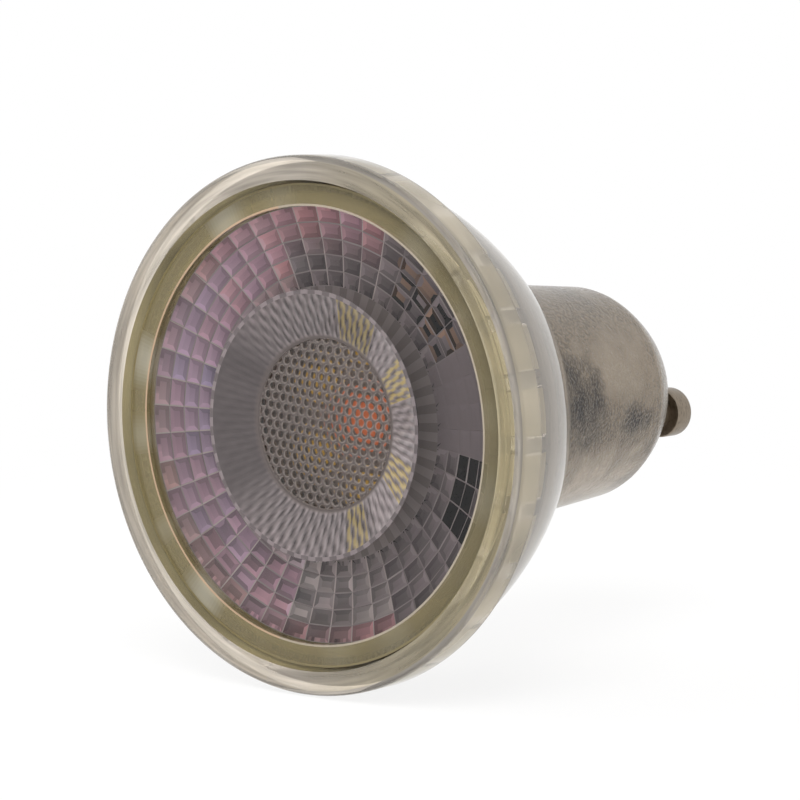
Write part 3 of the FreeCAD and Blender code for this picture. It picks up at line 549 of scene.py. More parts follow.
class LAMP_OT_glass(bpy.types.Operator):
    """Turn the pressed-glass body, press its inner panels and bore it for the pins"""
    bl_idname = "lamp.glass"
    bl_label = "Glass body"

    flange_round = 0.4 * MM
    wall_taper = 0.6 * MM
    wall_rise = 3.6 * MM
    ledge_step = 1.5 * MM
    panel_margin = 0.35 * MM
    panel_length = 4.3 * MM
    panel_edge = 0.25 * MM
    bevel_height = 4.2 * MM
    bevel_line = 0.3 * MM
    base_wall = 2.2 * MM
    neck_wall = 1.9 * MM
    bowl_bulge = 1.8 * MM
    inner_bulge = -0.65 * MM
    bevel_bulge = 0.14 * MM
    bore_play = 0.05 * MM
    quarter = 0.29  # how far an edge bulges to follow a quarter round, as a share of its radius

    def execute(self, context):
        glass = context.scene.lamp_glass
        pins = context.scene.lamp_pins
        mouth = RIM_RADIUS - glass.rim_width
        seat = mouth - glass.seat_width
        wall = seat - self.wall_taper
        ledge = wall - self.ledge_step
        bowl = RIM_RADIUS - glass.flange_step
        panel_front = glass.seat_depth + self.panel_margin
        panel_back = panel_front + self.panel_length
        wall_depth = glass.ledge_depth - self.wall_rise
        bevel_depth = glass.body_depth - self.bevel_height
        floor = glass.body_depth - pins.floor
        bm = bmesh.new()
        edges = outline(bm, [
            (mouth, 0.0), (RIM_RADIUS - glass.rim_round, 0.0), (RIM_RADIUS, glass.rim_round),
            (RIM_RADIUS, glass.flange_height - self.flange_round),
            (RIM_RADIUS - self.flange_round, glass.flange_height),
            (bowl, glass.flange_height), (glass.neck_radius, glass.neck_depth),
            (glass.base_radius + 0.03 * MM, bevel_depth - self.bevel_line),
            (glass.base_radius - 0.12 * MM, bevel_depth + self.bevel_line),
            (glass.end_radius, glass.body_depth), (0.0, glass.body_depth),
        ])
        bulge(bm, edges[1], glass.rim_round * self.quarter, 4)
        bulge(bm, edges[3], self.flange_round * self.quarter, 3)
        bulge(bm, edges[5], self.bowl_bulge, 26)
        divide(bm, edges[6], 12)
        bulge(bm, edges[8], self.bevel_bulge, 6)
        edges = outline(bm, [
            (0.0, floor), (glass.base_radius - self.base_wall, floor),
            (glass.neck_radius - self.neck_wall, glass.neck_depth),
            (ledge - self.neck_wall, glass.ledge_depth), (ledge, glass.ledge_depth), (wall, wall_depth),
            (wall + 0.1 * MM, panel_back), (seat - 0.05 * MM, panel_front), (seat, glass.seat_depth),
            (mouth, glass.seat_depth), (mouth, 0.0),
        ])
        divide(bm, edges[1], 10)
        bulge(bm, edges[2], self.inner_bulge, 16)
        bmesh.ops.remove_doubles(bm, verts=bm.verts[:], dist=MERGE)
        spin_round(bm, glass.steps)
        per_panel = glass.steps // glass.panels
        groups = {}
        for face in bm.faces:
            middle = face.calc_center_median()
            spread, angle = polar(middle)
            if not (panel_front < middle.y - RIM_Y < panel_back and wall < spread < seat):
                continue
            step = int(angle % 360 / 360 * glass.steps)
            if step % per_panel < per_panel - 2:
                groups.setdefault(step // per_panel, []).append(face)
        if len(groups) != glass.panels:
            raise RuntimeError("the inner panels were not found on the glass")
        for faces in groups.values():
            bmesh.ops.inset_region(
                bm, faces=faces, thickness=self.panel_edge, depth=-glass.panel_recess, use_even_offset=True)
        soften(bm, math.radians(16))
        panels = {face for faces in groups.values() for face in faces}
        paint(bm, lambda face: self.tint(face, glass, panels, mouth, seat, wall))
        piece = finish_piece(bm, "pressed_glass", glass_finish(glass), "glass", "glass_envelope")
        self.bore(context, piece, pins, glass.body_depth)
        return {"FINISHED"}

    def tint(self, face, glass, panels, mouth, seat, wall):
        """Tint and clearness of the glass by where a face lies."""
        if face in panels:
            return (*glass.panel_tint, 0.3)
        middle = face.calc_center_median()
        depth = middle.y - RIM_Y
        spread, _ = polar(middle)
        if depth < glass.rim_round:
            if spread > RIM_RADIUS - glass.rim_round:
                return (*glass.edge_tint, 0.6)
            # Painted shade: the rim's front turns to a darker olive towards +X.
            side = max(0.0, middle.x / spread) ** 0.7
            return (*blended(glass.rim_tint, shaded(glass.seat_tint, 1.35), 0.8 * side), 0.65)
        if depth < glass.flange_height and spread > mouth + 0.1 * MM:
            return (*glass.band_tint, 0.6)
        if depth <= glass.seat_depth + HAIR:
            return (*glass.seat_tint, 0.65)
        if depth < glass.ledge_depth and wall - 2 * MM < spread < seat + 0.1 * MM:
            return (*glass.gap_tint, 0.8)
        if depth < glass.neck_depth:
            return (*glass.bowl_tint, 0.82)
        # Painted highlight: a narrow lighter band where the bevel begins.
        if abs(depth - glass.body_depth + self.bevel_height) < 0.2 * MM:
            return (*shaded(glass.neck_tint, 1.3), 0.5)
        if depth < glass.body_depth - self.bevel_height:
            return (*glass.neck_tint, 0.5)
        return (*glass.end_tint, 0.5)

    def bore(self, context, piece, pins, depth):
        """Cut the two holes that the pins are riveted through."""
        bm = bmesh.new()
        radius = pins.shank + self.bore_play
        for turn in (0.0, math.pi):
            lie = Matrix.Rotation(BASE_TURN + turn, 4, "Y") @ Matrix.Translation(
                (pins.pitch / 2, y_at(depth - pins.floor / 2), 0.0)) @ Matrix.Rotation(math.pi / 2, 4, "X")
            bmesh.ops.create_cone(
                bm, cap_ends=True, segments=48, radius1=radius, radius2=radius, depth=pins.floor * 2, matrix=lie)
        drill_mesh = bpy.data.meshes.new("drill")
        bm.to_mesh(drill_mesh)
        bm.free()
        drill = bpy.data.objects.new("drill", drill_mesh)
        context.scene.collection.objects.link(drill)
        cut = piece.modifiers.new("bores", "BOOLEAN")
        cut.operation = "DIFFERENCE"
        cut.solver = "EXACT"
        cut.object = drill
        bored = bpy.data.meshes.new_from_object(piece.evaluated_get(context.evaluated_depsgraph_get()))
        piece.modifiers.clear()
        piece.data = bored
        bpy.data.objects.remove(drill)


class LAMP_OT_lens(bpy.types.Operator):
    """Turn the lens, cut its rear facets, rib the well and press the honeycomb into the well's floor"""
    bl_idname = "lamp.lens"
    bl_label = "Faceted lens"

    rows = (0.8, 0.7, 0.6, 0.5, 0.4)  # how far each row of facets drops, in mm, from the outside in
    steps_per_column = 8
    first_column = 2.0  # where the first column of facets begins, in degrees
    crown_share = 0.28
    floor_rim = 0.1 * MM
    foot_taper = 0.4 * MM
    dome_cuts = 96
    well_cuts = 9
    rib_margin = 0.2 * MM
    comb_turn = math.radians(-5.5)
    comb_edge = 0.15 * MM
    # Sectors in degrees from +X towards +Z, by what the photo shows through the facets and the ribs there.
    plain_sector = (-6, 24)
    brown_sector = (26, 62)
    painted_sparkle_sector = (-140, -78)
    glint_sectors = ((16, 34), (-32, -14), (52, 76), (-70, -56))
    coated_beyond = 105
    black_until = -34
    pale_until = -60

    def execute(self, context):
        lens = context.scene.lamp_lens
        pitch = (lens.facet_radius - lens.facet_inner) / len(self.rows)
        foot = lens.foot_inner + lens.foot_wall
        dome_edge = lens.well_radius - self.floor_rim
        bm = bmesh.new()
        rear = [(lens.facet_radius, lens.back)]
        for drop in self.rows:
            rear.append((rear[-1][0] - pitch, rear[-1][1] + drop * MM))
        facet_end = rear[-1][1]
        points = [
            (0.0, lens.well_floor), (dome_edge, lens.well_floor), (lens.well_radius, lens.well_floor),
            (lens.well_mouth, lens.face), (lens.well_mouth + lens.lip, lens.face), (lens.facet_radius, lens.face),
            (lens.facet_radius, lens.front),
            (lens.facet_radius + lens.fringe, lens.front), (lens.radius - lens.fringe, lens.front),
            (lens.radius, lens.front), (lens.radius, lens.back), *rear,
            (foot, facet_end), (foot, lens.foot_end), (lens.foot_inner, lens.foot_end),
            (lens.foot_inner - self.foot_taper, lens.cavity), (0.0, lens.cavity),
        ]
        edges = outline(bm, points)
        divide(bm, edges[0], self.dome_cuts)
        divide(bm, edges[2], self.well_cuts)
        spin_round(bm, lens.columns * self.steps_per_column)
        self.press_honeycomb(bm, lens, dome_edge)
        self.rib_well(bm, lens)
        facets, grooves, crisp = self.cut_facets(bm, lens, pitch)
        soften(bm, math.radians(20))
        for edge in crisp:
            edge.smooth = False
        layer = paint(bm, lambda face: self.tint(face, lens))
        self.shade_ribs(bm, lens, layer)
        for face in grooves:
            for loop in face.loops:
                loop[layer] = (*self.groove_tint(lens, face), 0.04)
        bm.faces.index_update()
        for (row, column), face in facets.items():
            self.shade_facet(lens, layer, face, row, column)
        finish_piece(bm, "faceted_lens", lens_finish(lens), "lens", "front_lens")
        return {"FINISHED"}

    def tint(self, face, lens):
        """Tint and clearness of the lens by where a face lies."""
        middle = face.calc_center_median()
        depth = middle.y - RIM_Y
        spread, angle = polar(middle)
        if spread > lens.facet_radius - HAIR:
            in_front = depth < lens.front + HAIR
            if in_front and spread < lens.facet_radius + lens.fringe:
                line = blended(lens.flange_tint, *((lens.peach, 0.65) if abs(angle) > 100 else (lens.pale, 0.5)))
                return (*line, 0.3)
            if in_front and spread > lens.radius - lens.fringe:
                return (*lens.flange_tint, 0.4)
            turn = math.radians(angle)
            # Painted shade: the flange is darker towards +X and lighter towards -X.
            lit = 1 - 0.22 * math.cos(turn)
            patch = max(0.0, math.sin(5 * turn) * math.sin(11 * turn + 1)) * (0.9 if abs(angle) > 110 else 0.3)
            return (*shaded(blended(lens.flange_tint, lens.bond_tint, patch), lit), 0.6)
        # Painted highlight: a pale scalloped ring round the well's mouth.
        if lens.well_mouth < spread < lens.well_mouth + lens.lip and depth < lens.back:
            return (*shaded(lens.grey, self.scallop(lens, angle, 0.6, 1.1)), 0.35)
        if spread > lens.well_mouth and depth < lens.back:
            return (*lens.face_tint, 1.0)
        if spread > lens.well_radius and depth < lens.well_floor:
            return (*lens.well_tint, 0.65)
        if spread < lens.well_radius and depth < lens.cavity + 0.1 * MM:
            return (*lens.cell_tint, 0.98)
        # Painted light and shade: the foot ring seen through the lens alternates lighter and darker scallops.
        return (*shaded(lens.foot_tint, self.scallop(lens, angle, 0.85, 1.25)), 0.15)

    def scallop(self, lens, angle, low, high):
        """Share of painted light on one of the scallops that run round, two to a column of facets."""
        return high if int(angle % 360 * lens.columns / 360 * 2) % 2 else low

    def shade_ribs(self, bm, lens, layer):
        """Paint light on the crests and shade in the hollows of the well's crossed ribs, least on the smooth left
        side.
        """
        slope = lens.well_mouth - lens.well_radius
        for face in bm.faces:
            middle = face.calc_center_median()
            spread, angle = polar(middle)
            if not lens.well_radius < spread < lens.well_mouth or middle.y > y_at(lens.well_floor):
                continue
            on_right = abs(angle) < 50
            glints = any(within(angle, sector) for sector in self.glint_sectors)
            smooth = clamp((abs(angle) - 118) / 30)
            contrast = 0.42 if on_right else 0.6 - 0.52 * smooth
            for loop in face.loops:
                step = self.rib_step(lens, loop.vert)
                ring = round((lens.well_mouth - polar(loop.vert.co)[0]) * self.well_cuts / slope)
                crest = 0.75 * (abs(step % 4 - 2) - 1) + (0.45 if (step + 2 * ring) % 8 < 4 else -0.45)
                shade = shaded(lens.well_tint, (1.15 - 0.7 * smooth) * (1 + contrast * crest))
                # Painted reflection of the emitters on the crests within the glint sectors.
                if crest > 0 and glints:
                    shade = blended(shade, lens.glint, 0.55)
                loop[layer] = (*shade, 0.1 if on_right else 0.4 - 0.35 * smooth)

    def rib_step(self, lens, vert):
        """Number of a point's step round the turn."""
        return round(polar(vert.co)[1] * lens.columns * self.steps_per_column / 360)

    def groove_tint(self, lens, face):
        """Painted highlight where a groove runs out from the middle, plain where it runs round or the lens is smooth.
        """
        middle = face.calc_center_median()
        line = max(face.edges, key=lambda edge: edge.calc_length())
        run = (line.verts[1].co - line.verts[0].co).normalized()
        outwards = Vector((middle.x, 0.0, middle.z)).normalized()
        _, angle = polar(middle)
        if within(angle, self.plain_sector):
            return shaded(lens.grey, 1.25)
        if abs(run.dot(outwards)) > 0.6:
            return shaded(lens.pale, 1.3) if abs(angle) > self.brown_sector[1] else blended(lens.grey, lens.pale, 0.35)
        return blended(lens.grey, lens.pale, 0.6)

    def shade_facet(self, lens, layer, face, row, column):
        """Tint one facet and paint light and shade on its crown, each side of the crown with its own share of painted
        light.
        """
        shade, clearness = self.glimpse(lens, row, column)
        centre = face.calc_center_median()
        outwards = Vector((centre.x, 0.0, centre.z)).normalized()
        around = Vector((-outwards.z, 0.0, outwards.x))
        _, angle = polar(centre)
        relief = 0.1 if within(angle, self.plain_sector) else 1.0
        broken = random.Random(SEED + row + 31 * column)
        crowns = {crown for edge in face.edges for crown in edge.link_faces}
        for crown in sorted(crowns, key=lambda crown: crown.index):
            offset = crown.calc_center_median() - centre
            out, turn = offset.dot(outwards), offset.dot(around)
            # Painted light and shade on the crown's sides and corners.
            light = 0.0
            if crown is not face:
                light = (0.12 if out > 0 else -0.3) if abs(out) > abs(turn) else (0.35 if turn > 0 else -0.22)
            piece = shade
            if row in (1, 2, 3) and within(angle, self.brown_sector):
                piece = broken.choice(self.pieces(lens, shade))
            # Painted sparkle: random lighter and darker crowns.
            elif within(angle, self.painted_sparkle_sector):
                piece = shaded(shade, broken.choice((0.55, 0.8, 1.0, 1.35)))
            for loop in crown.loops:
                corner = loop.vert.co - centre
                lean = 0.14 if corner.dot(around) > 0 else -0.14
                loop[layer] = (*shaded(piece, 1 + relief * (light + lean)), clearness)

    def pieces(self, lens, shade):
        """Painted tints that a facet over the brown parts breaks into."""
        return shade, shade, tuple(lens.smoke), tuple(lens.dark), blended(lens.peach, lens.smoke, 0.5)

    def glimpse(self, lens, row, column):
        """Painted tint and clearness of one facet, standing for the reflection and the view of what lies behind it:
        its angle runs from +X to +Z, its row inwards.
        """
        angle = (column + 0.5) * 360 / lens.columns + self.first_column
        angle = (angle + 180) % 360 - 180
        chance = random.Random(SEED + 97 * row + 1009 * column)
        checker = 1.28 if (row + column) % 2 else 0.8
        grey = shaded(lens.grey, checker * chance.uniform(0.9, 1.1))
        if angle > 0:
            drift = 0.15 + 0.65 * clamp((angle - self.coated_beyond) / 50)
        else:
            drift = 0.8 - 0.35 * clamp((angle + 180) / 75)
        coating = blended(lens.rosy, lens.lavender, clamp(drift + chance.uniform(-0.25, 0.25)))
        coating = shaded(coating, (1.2 if angle > 0 else 1.0) * chance.uniform(0.88, 1.1))
        if abs(angle) > self.coated_beyond:
            if row == 0:
                return blended(lens.peach, coating, chance.uniform(0.5, 0.95)), 0.15
            return (blended(coating, lens.pale, 0.6) if row == 4 else coating), 0.15
        if angle > self.brown_sector[1]:
            return (blended(coating, grey, 0.42 * row) if row < 3 else grey), 0.15
        if angle > self.plain_sector[1]:
            return grey, 0.06
        if angle > self.plain_sector[0]:
            return shaded(lens.grey, 1.25), 0.03
        if angle > self.black_until:
            return (tuple(lens.dark), 0.0) if row < 3 and chance.random() < 0.85 else (grey, 0.06)
        if angle < self.pale_until:
            return blended(lens.rosy if row == 0 else lens.pale, grey, chance.uniform(0.2, 0.9)), 0.12
        return grey, 0.1

    def press_honeycomb(self, bm, lens, dome_edge):
        """Dome the well's floor and sink a round-bottomed six-sided cell at each place of the comb."""
        web = bm.verts.layers.float.new("web")
        curve = (dome_edge ** 2 + lens.dome_height ** 2) / (2 * lens.dome_height)
        row = lens.comb_pitch * math.sqrt(3) / 2
        reach = lens.comb_pitch / math.sqrt(3)
        cosine, sine = math.cos(self.comb_turn), math.sin(self.comb_turn)
        for vert in bm.verts:
            spread, _ = polar(vert.co)
            if spread > lens.well_radius + MERGE or vert.co.y > y_at(lens.well_floor + 0.5 * MM):
                continue
            if spread > dome_edge - self.comb_edge:
                vert[web] = 1.0
            if spread > dome_edge - MERGE:
                continue
            vert.co.y += -lens.dome_height + spread * spread / (2 * curve)
            if spread > dome_edge - self.comb_edge:
                continue
            across = vert.co.x * cosine + vert.co.z * sine
            along = vert.co.z * cosine - vert.co.x * sine
            nearest = lens.comb_pitch
            for line in (math.floor(along / row), math.floor(along / row) + 1):
                shift = 0.5 * lens.comb_pitch * (line % 2)
                column = round((across - shift) / lens.comb_pitch)
                nearest = min(nearest, math.hypot(
                    across - shift - column * lens.comb_pitch, along - line * row))
            vert.co.y += lens.comb_depth * (1 - (nearest / reach) ** 2)
            vert[web] = clamp((nearest / reach - 0.58) / 0.16)

    def rib_well(self, bm, lens):
        """Raise fine ribs down the well's wall, every fourth step of the turn."""
        for vert in bm.verts:
            spread, _ = polar(vert.co)
            inside = lens.well_radius + self.rib_margin < spread < lens.well_mouth - self.rib_margin
            if not inside or vert.co.y > y_at(lens.well_floor):
                continue
            rise = lens.rib_height * (abs(self.rib_step(lens, vert) % 4 - 2) / 2 - 0.5)
            vert.co.x *= 1 + rise / spread
            vert.co.z *= 1 + rise / spread

    def cut_facets(self, bm, lens, pitch):
        """Make each facet one face, groove it off, lean it a little and crown it."""
        column_angle = 360 / lens.columns
        groups = {}
        for face in bm.faces:
            middle = face.calc_center_median()
            spread, angle = polar(middle)
            if not (lens.facet_inner < spread < lens.facet_radius and middle.y > y_at(lens.back + 0.05 * MM)):
                continue
            column = int((angle - self.first_column) % 360 // column_angle)
            key = (int((lens.facet_radius - spread) / pitch), column)
            groups.setdefault(key, []).append(face)
        if len(groups) != lens.columns * len(self.rows):
            raise RuntimeError("the rear facets were not found on the lens")
        facets = {}
        for key in sorted(groups):
            facets[key] = bmesh.ops.dissolve_faces(bm, faces=groups[key], use_verts=True)["region"][0]
        faces = list(facets.values())
        grooves = bmesh.ops.inset_individual(
            bm, faces=faces, thickness=lens.groove, depth=0.0, use_even_offset=True)["faces"]
        chance = random.Random(SEED)
        for face in faces:
            lean = Vector((chance.uniform(-1, 1), 0.0, chance.uniform(-1, 1))).normalized()
            bmesh.ops.rotate(
                bm, verts=face.verts[:], cent=face.calc_center_median(),
                matrix=Matrix.Rotation(chance.uniform(-lens.tilt, lens.tilt), 3, lean))
        crisp = {edge for face in faces for edge in face.edges}
        bmesh.ops.inset_individual(
            bm, faces=faces, thickness=pitch * self.crown_share, depth=lens.pillow, use_even_offset=True)
        return facets, grooves, crisp


class LAMP_OT_emitters(bpy.types.Operator):
    """Mould the emitter frames and fill their cups with phosphor"""
    bl_idname = "lamp.emitters"
    bl_label = "Emitters"

    cup_taper = 0.05 * MM
    frame_ease = 0.07 * MM
    fill_ease = 0.09 * MM
    cup_ease = 0.06 * MM
    play = 0.02 * MM

    def execute(self, context):
        emit = context.scene.lamp_emitters
        white = mottled("emitter frame", tuple(emit.white), 0.4 * MM, 0.45, spread=0.08).material
        # The phosphors carry a painted glow.
        yellow, orange = (
            mottled(name + " phosphor", tuple(shade), 0.25 * MM, 0.55, spread=0.2, glow=emit.glow).material
            for name, shade in (("yellow", emit.yellow), ("orange", emit.orange)))
        top = emit.board - emit.height
        for number in range(1, 7):
            turn = BASE_TURN + (number - 1) * math.pi / 3
            bm = self.block(emit.length, emit.width, emit.height, emit.ring, top)
            front = min(bm.faces, key=lambda face: face.calc_center_median().y)
            bmesh.ops.inset_individual(bm, faces=[front], thickness=emit.frame_width, depth=0.0)
            bmesh.ops.inset_individual(bm, faces=[front], thickness=self.cup_taper, depth=-emit.cup)
            self.ease(bm, self.frame_ease)
            turn_about_axis(bm, turn)
            finish_piece(bm, "emitter_frame_%d" % number, white, "package", "led_package_%d" % number)
            inner = 2 * (emit.frame_width + self.cup_taper)
            bm = self.block(
                emit.length - inner, emit.width - inner, emit.cup - self.play, emit.ring, top + self.play / 2)
            self.ease(bm, self.fill_ease)
            turn_about_axis(bm, turn)
            finish_piece(bm, "emitter_phosphor_%d" % number, yellow, "phosphor_yellow", "led_phosphor_%d" % number)
        top = emit.board - emit.centre_height
        bm = self.round_cup(emit, top)
        turn_about_axis(bm, BASE_TURN)
        finish_piece(bm, "centre_frame", white, "package", "centre_led_package")
        bm = bmesh.new()
        side, floor = emit.centre_cup - self.play, top + emit.centre_recess - self.play
        edges = outline(bm, [
            (0.0, top), (emit.centre_cup - 0.15 * MM, top + 0.08 * MM), (side, top + 0.2 * MM), (side, floor),
            (0.0, floor)])
        divide(bm, edges[0], 6)
        spin_round(bm, 72)
        soften(bm, math.radians(40))
        finish_piece(bm, "centre_phosphor", orange, "phosphor_orange", "centre_led_phosphor")
        return {"FINISHED"}

    def block(self, length, width, height, ring, top):
        """Block with its front at a depth, set out from the axis along X."""
        bm = bmesh.new()
        bmesh.ops.create_cube(bm, size=1.0)
        bmesh.ops.scale(bm, vec=(length, height, width), verts=bm.verts[:])
        bmesh.ops.translate(bm, vec=(ring, y_at(top + height / 2), 0.0), verts=bm.verts[:])
        return bm

    def ease(self, bm, amount):
        """Take the sharpness off the edges of a block."""
        sharp = [edge for edge in bm.edges if edge.calc_face_angle(0.0) > math.radians(50)]
        bmesh.ops.bevel(
            bm, geom=sharp, offset=amount, segments=2, profile=0.5, affect="EDGES", material=-1, clamp_overlap=True)
        soften(bm, math.radians(35))

    def round_cup(self, emit, top):
        """Square frame round a round cup: the cup's lip is drawn out to the square, then both are pulled back."""
        bm = bmesh.new()
        bmesh.ops.create_circle(
            bm, cap_ends=False, segments=48, radius=emit.centre_cup,
            matrix=Matrix.Translation((0.0, y_at(top), 0.0)) @ Matrix.Rotation(math.pi / 2, 4, "X"))
        lip = bm.edges[:]
        square = pull(bm, lip, (0.0, 0.0, 0.0))
        for vert in {vert for edge in square for vert in edge.verts}:
            reach = emit.centre_side / 2 / max(abs(vert.co.x), abs(vert.co.z))
            vert.co.x *= reach
            vert.co.z *= reach
        bmesh.ops.contextual_create(bm, geom=pull(bm, square, (0.0, emit.centre_height, 0.0)))
        bmesh.ops.contextual_create(bm, geom=pull(bm, lip, (0.0, emit.centre_recess, 0.0)))
        bmesh.ops.recalc_face_normals(bm, faces=bm.faces[:])
        self.ease(bm, self.cup_ease)
        return bm


class LAMP_OT_pins(bpy.types.Operator):
    """Turn the two headed contact pins"""
    bl_idname = "lamp.pins"
    bl_label = "Contact pins"

    rivet_round = 0.25 * MM
    edge_round = 0.15 * MM
    head_round = 0.5 * MM

    def execute(self, context):
        pins = context.scene.lamp_pins
        end = context.scene.lamp_glass.body_depth
        grip = TIP_DEPTH - pins.head_height
        inside = end - pins.floor
        rivet_end = inside - pins.rivet_height
        collar_end = end + pins.collar_height
        metal = mottled(
            "dulled nickel", tuple(pins.metal), 0.5 * MM, 0.34, bump=0.2, spread=0.3,
            stretch=(1.0, 4.0, 1.0), metallic=1.0).material
        for number, turn in ((1, 0.0), (2, math.pi)):
            bm = bmesh.new()
            edges = outline(bm, [
                (0.0, rivet_end), (pins.rivet - self.rivet_round, rivet_end),
                (pins.rivet, rivet_end + self.rivet_round), (pins.rivet, inside), (pins.shank, inside),
                (pins.shank, end), (pins.collar, end), (pins.collar, collar_end - self.edge_round),
                (pins.collar - self.edge_round, collar_end), (pins.shank, collar_end),
                (pins.shank, grip), (pins.head - self.edge_round, grip), (pins.head, grip + self.edge_round),
                (pins.head, TIP_DEPTH - self.head_round), (pins.head - self.head_round, TIP_DEPTH), (0.0, TIP_DEPTH)])
            for corner, amount, cuts in ((1, 0.07, 3), (7, 0.04, 2), (11, 0.04, 2), (13, 0.15, 6)):
                bulge(bm, edges[corner], amount * MM, cuts)
            spin_round(bm, 72)
            soften(bm, math.radians(35))
            bmesh.ops.translate(bm, vec=(pins.pitch / 2, 0.0, 0.0), verts=bm.verts[:])
            turn_about_axis(bm, BASE_TURN + turn)
            finish_piece(bm, "twist_pin_%d" % number, metal, "pin", "contact_pin_%d" % number)
        return {"FINISHED"}


class LAMP_OT_inner_finishes(bpy.types.Operator):
    """Give the boards, wires and parts inside the lamp their finishes"""
    bl_idname = "lamp.inner_finishes"
    bl_label = "Inner finishes"

    # name: colour, grain in mm, roughness, further settings, and the nodes that have it
    finishes = {
        "white solder mask": ((0.66, 0.60, 0.58), 1.2, 0.4, {"spread": 0.08}, "led_board"),
        "clear bond": ((0.44, 0.39, 0.22), 0.6, 0.3, {"spread": 0.15}, "lens_bond board_bond"),
        "moulded black": (
            (0.018, 0.018, 0.02), 0.3, 0.5, {"spread": 0.3},
            "driver_chip bridge_rectifier freewheel_diode sense_resistor"),
        "fired ceramic": ((0.30, 0.17, 0.08), 0.3, 0.4, {"spread": 0.2}, "chip_capacitor_1 chip_capacitor_2"),
        "board laminate": ((0.30, 0.25, 0.15), 0.7, 0.5, {"spread": 0.15}, "driver_board"),
        "ferrite": ((0.035, 0.033, 0.033), 0.25, 0.6, {"bump": 0.4, "spread": 0.5}, "inductor_core"),
        "enamelled copper": (
            (0.35, 0.14, 0.05), 0.25, 0.3, {"bump": 0.6, "stretch": (0.15, 1.5, 0.15), "metallic": 1.0},
            "inductor_winding"),
        "dipped film": ((0.22, 0.08, 0.035), 0.5, 0.3, {"spread": 0.2}, "film_capacitor"),
        "capacitor sleeve": ((0.05, 0.055, 0.09), 0.6, 0.35, {"spread": 0.25}, "smoothing_capacitor"),
        "resistor lacquer": ((0.16, 0.20, 0.22), 0.3, 0.4, {"spread": 0.2}, "fuse_resistor"),
        "red insulation": ((0.42, 0.05, 0.03), 0.4, 0.4, {"spread": 0.15}, "led_wire_1"),
        "black insulation": ((0.03, 0.03, 0.03), 0.4, 0.4, {"spread": 0.15}, "led_wire_2"),
        "tinned solder": (
            (0.58, 0.56, 0.53), 0.3, 0.3, {"spread": 0.15, "metallic": 1.0},
            "solder_1 solder_2 pin_lead_1 pin_lead_2"),
    }

    def execute(self, context):
        for name, (shade, grain, roughness, settings, nodes) in self.finishes.items():
            material = mottled(name, shade, grain * MM, roughness, **settings).material
            for node in nodes.split():
                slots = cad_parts[node].material_slots
                if not slots:
                    raise RuntimeError(node + " has no material slot")
                for slot in slots:
                    slot.material = material
        return {"FINISHED"}


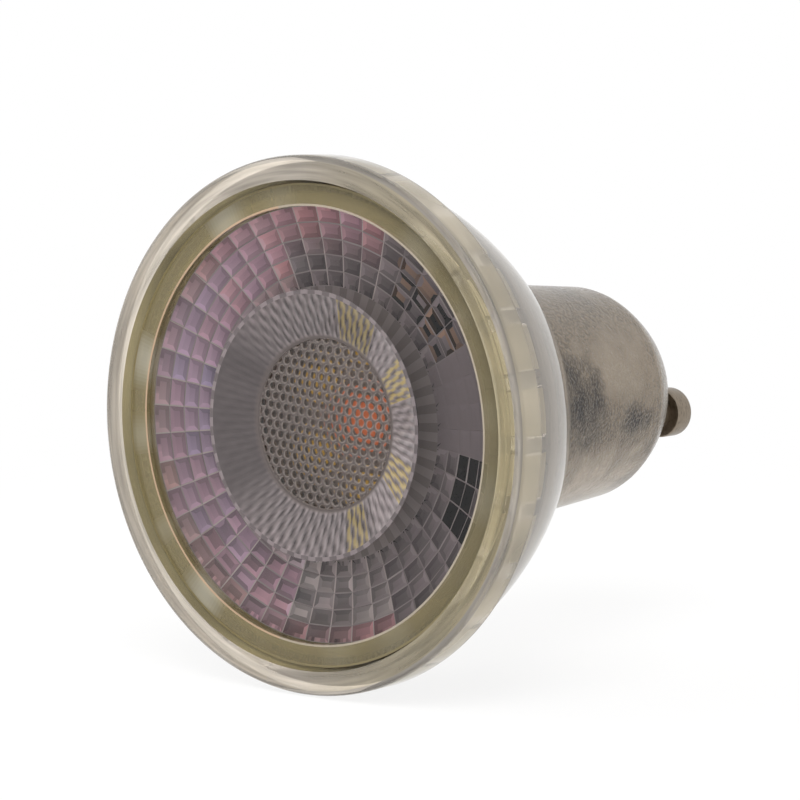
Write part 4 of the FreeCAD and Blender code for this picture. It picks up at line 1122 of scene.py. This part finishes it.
class LAMP_OT_stage(bpy.types.Operator):
    """Set the floor, the light and the camera"""
    bl_idname = "lamp.stage"
    bl_label = "Stage"

    lights = {"key": ((0.25, -0.45, 0.45), 3.5), "side": ((-0.5, -0.25, 0.25), 1.8), "back": ((0.4, 0.35, 0.35), 0.8)}
    light_side = 0.35

    def execute(self, context):
        scene = context.scene
        stage = scene.lamp_stage
        scene.view_settings.view_transform = "Standard"
        self.lay_floor(scene, stage)
        self.light_world(scene)
        rim = Vector((0.0, RIM_Y, 0.0))
        for name, (place, power) in self.lights.items():
            self.hang_light(scene, name, place, rim, power)
        turn = Matrix.Rotation(stage.azimuth, 3, "Z") @ Matrix.Rotation(math.pi / 2 - stage.elevation, 3, "X")
        data = bpy.data.cameras.new("camera")
        data.sensor_width = 36.0
        data.lens = stage.lens
        data.clip_start = 0.01
        camera = bpy.data.objects.new("camera", data)
        offset = turn @ Vector((stage.across, stage.upward, stage.distance))
        camera.matrix_world = Matrix.Translation(rim + offset) @ turn.to_4x4()
        scene.collection.objects.link(camera)
        scene.camera = camera
        return {"FINISHED"}

    def seen_as_white(self, tree):
        """One for the rays that show the background: straight to the camera, mirrored or through glass."""
        path = tree.nodes.new("ShaderNodeLightPath")
        total = path.outputs["Is Camera Ray"]
        for name in ("Is Glossy Ray", "Is Transmission Ray"):
            node = tree.nodes.new("ShaderNodeMath")
            node.operation = "MAXIMUM"
            tree.links.new(total, node.inputs[0])
            tree.links.new(path.outputs[name], node.inputs[1])
            total = node.outputs["Value"]
        return total

    def lay_floor(self, scene, stage):
        """Pale floor that catches a soft shadow near the lamp and runs into the white ground further out."""
        bm = bmesh.new()
        level = CAD_BOX[0].z - stage.floor_gap
        bmesh.ops.create_grid(
            bm, x_segments=8, y_segments=8, size=3.0, matrix=Matrix.Translation((0.0, 0.0, level)))
        mesh = bpy.data.meshes.new("floor")
        bm.to_mesh(mesh)
        bm.free()
        floor = bpy.data.objects.new("floor", mesh)
        scene.collection.objects.link(floor)
        finish = Finish("pale floor")
        finish.feed("Base Color", finish.ramp(
            finish.noise(40.0, 2.0), (0.3, shaded(tuple(stage.floor_tone), 0.99)), (0.7, tuple(stage.floor_tone))))
        finish.set(Roughness=0.9, Specular_IOR_Level=0.0)
        glow = finish.add("ShaderNodeEmission")
        blend = finish.add("ShaderNodeMixShader")
        share = finish.remap(finish.radius("XY"), 0.04, 0.16, 0.85, 1.0)
        white = finish.math("MULTIPLY", self.seen_as_white(finish.tree), share)
        finish.link(white, blend.inputs["Fac"])
        finish.link(finish.shader.outputs["BSDF"], blend.inputs[1])
        finish.link(glow.outputs["Emission"], blend.inputs[2])
        finish.link(blend.outputs["Shader"], finish.tree.nodes["Material Output"].inputs["Surface"])
        mesh.materials.append(finish.material)

    def light_world(self, scene):
        """Soft warm light all round, with a ground that shows white."""
        world = bpy.data.worlds.new("studio")
        scene.world = world
        world.use_nodes = True
        tree = world.node_tree
        soft = tree.nodes["Background"]
        soft.inputs["Color"].default_value = (1.0, 0.98, 0.95, 1.0)
        soft.inputs["Strength"].default_value = 0.55
        white = tree.nodes.new("ShaderNodeBackground")
        white.inputs["Color"].default_value = (1.0, 1.0, 1.0, 1.0)
        white.inputs["Strength"].default_value = 1.0
        blend = tree.nodes.new("ShaderNodeMixShader")
        tree.links.new(self.seen_as_white(tree), blend.inputs["Fac"])
        tree.links.new(soft.outputs["Background"], blend.inputs[1])
        tree.links.new(white.outputs["Background"], blend.inputs[2])
        tree.links.new(blend.outputs["Shader"], tree.nodes["World Output"].inputs["Surface"])

    def hang_light(self, scene, name, place, target, power):
        """Square soft light that points at the target."""
        data = bpy.data.lights.new(name, "AREA")
        data.size = self.light_side
        data.energy = power
        lamp = bpy.data.objects.new(name, data)
        lamp.location = place
        lamp.visible_glossy = False
        lamp.visible_transmission = False
        lamp.rotation_euler = (target - Vector(place)).to_track_quat("-Z", "Y").to_euler()
        scene.collection.objects.link(lamp)


class LAMP_PT_panel(bpy.types.Panel):
    """Lists the steps that build the lamp"""
    bl_idname = "LAMP_PT_panel"
    bl_label = "Spotlight lamp"
    bl_space_type = "VIEW_3D"
    bl_region_type = "UI"
    bl_category = "Lamp"

    def draw(self, context):
        for operator in OPERATORS:
            self.layout.operator(operator.bl_idname)


GROUPS = {
    "lamp_glass": LampGlass, "lamp_lens": LampLens, "lamp_emitters": LampEmitters, "lamp_pins": LampPins,
    "lamp_stage": LampStage,
}
OPERATORS = (
    LAMP_OT_glass, LAMP_OT_lens, LAMP_OT_emitters, LAMP_OT_pins, LAMP_OT_inner_finishes, LAMP_OT_stage)
CLASSES = (*GROUPS.values(), *OPERATORS, LAMP_PT_panel)


def register():
    for cls in CLASSES:
        bpy.utils.register_class(cls)
    for name, group in GROUPS.items():
        setattr(bpy.types.Scene, name, PointerProperty(type=group))


def unregister():
    for name in GROUPS:
        delattr(bpy.types.Scene, name)
    for cls in reversed(CLASSES):
        bpy.utils.unregister_class(cls)


def main():
    register()
    bpy.ops.lamp.glass()
    bpy.ops.lamp.lens()
    bpy.ops.lamp.emitters()
    bpy.ops.lamp.pins()
    bpy.ops.lamp.inner_finishes()
    bpy.ops.lamp.stage()


if __name__ == "__main__":
    main()
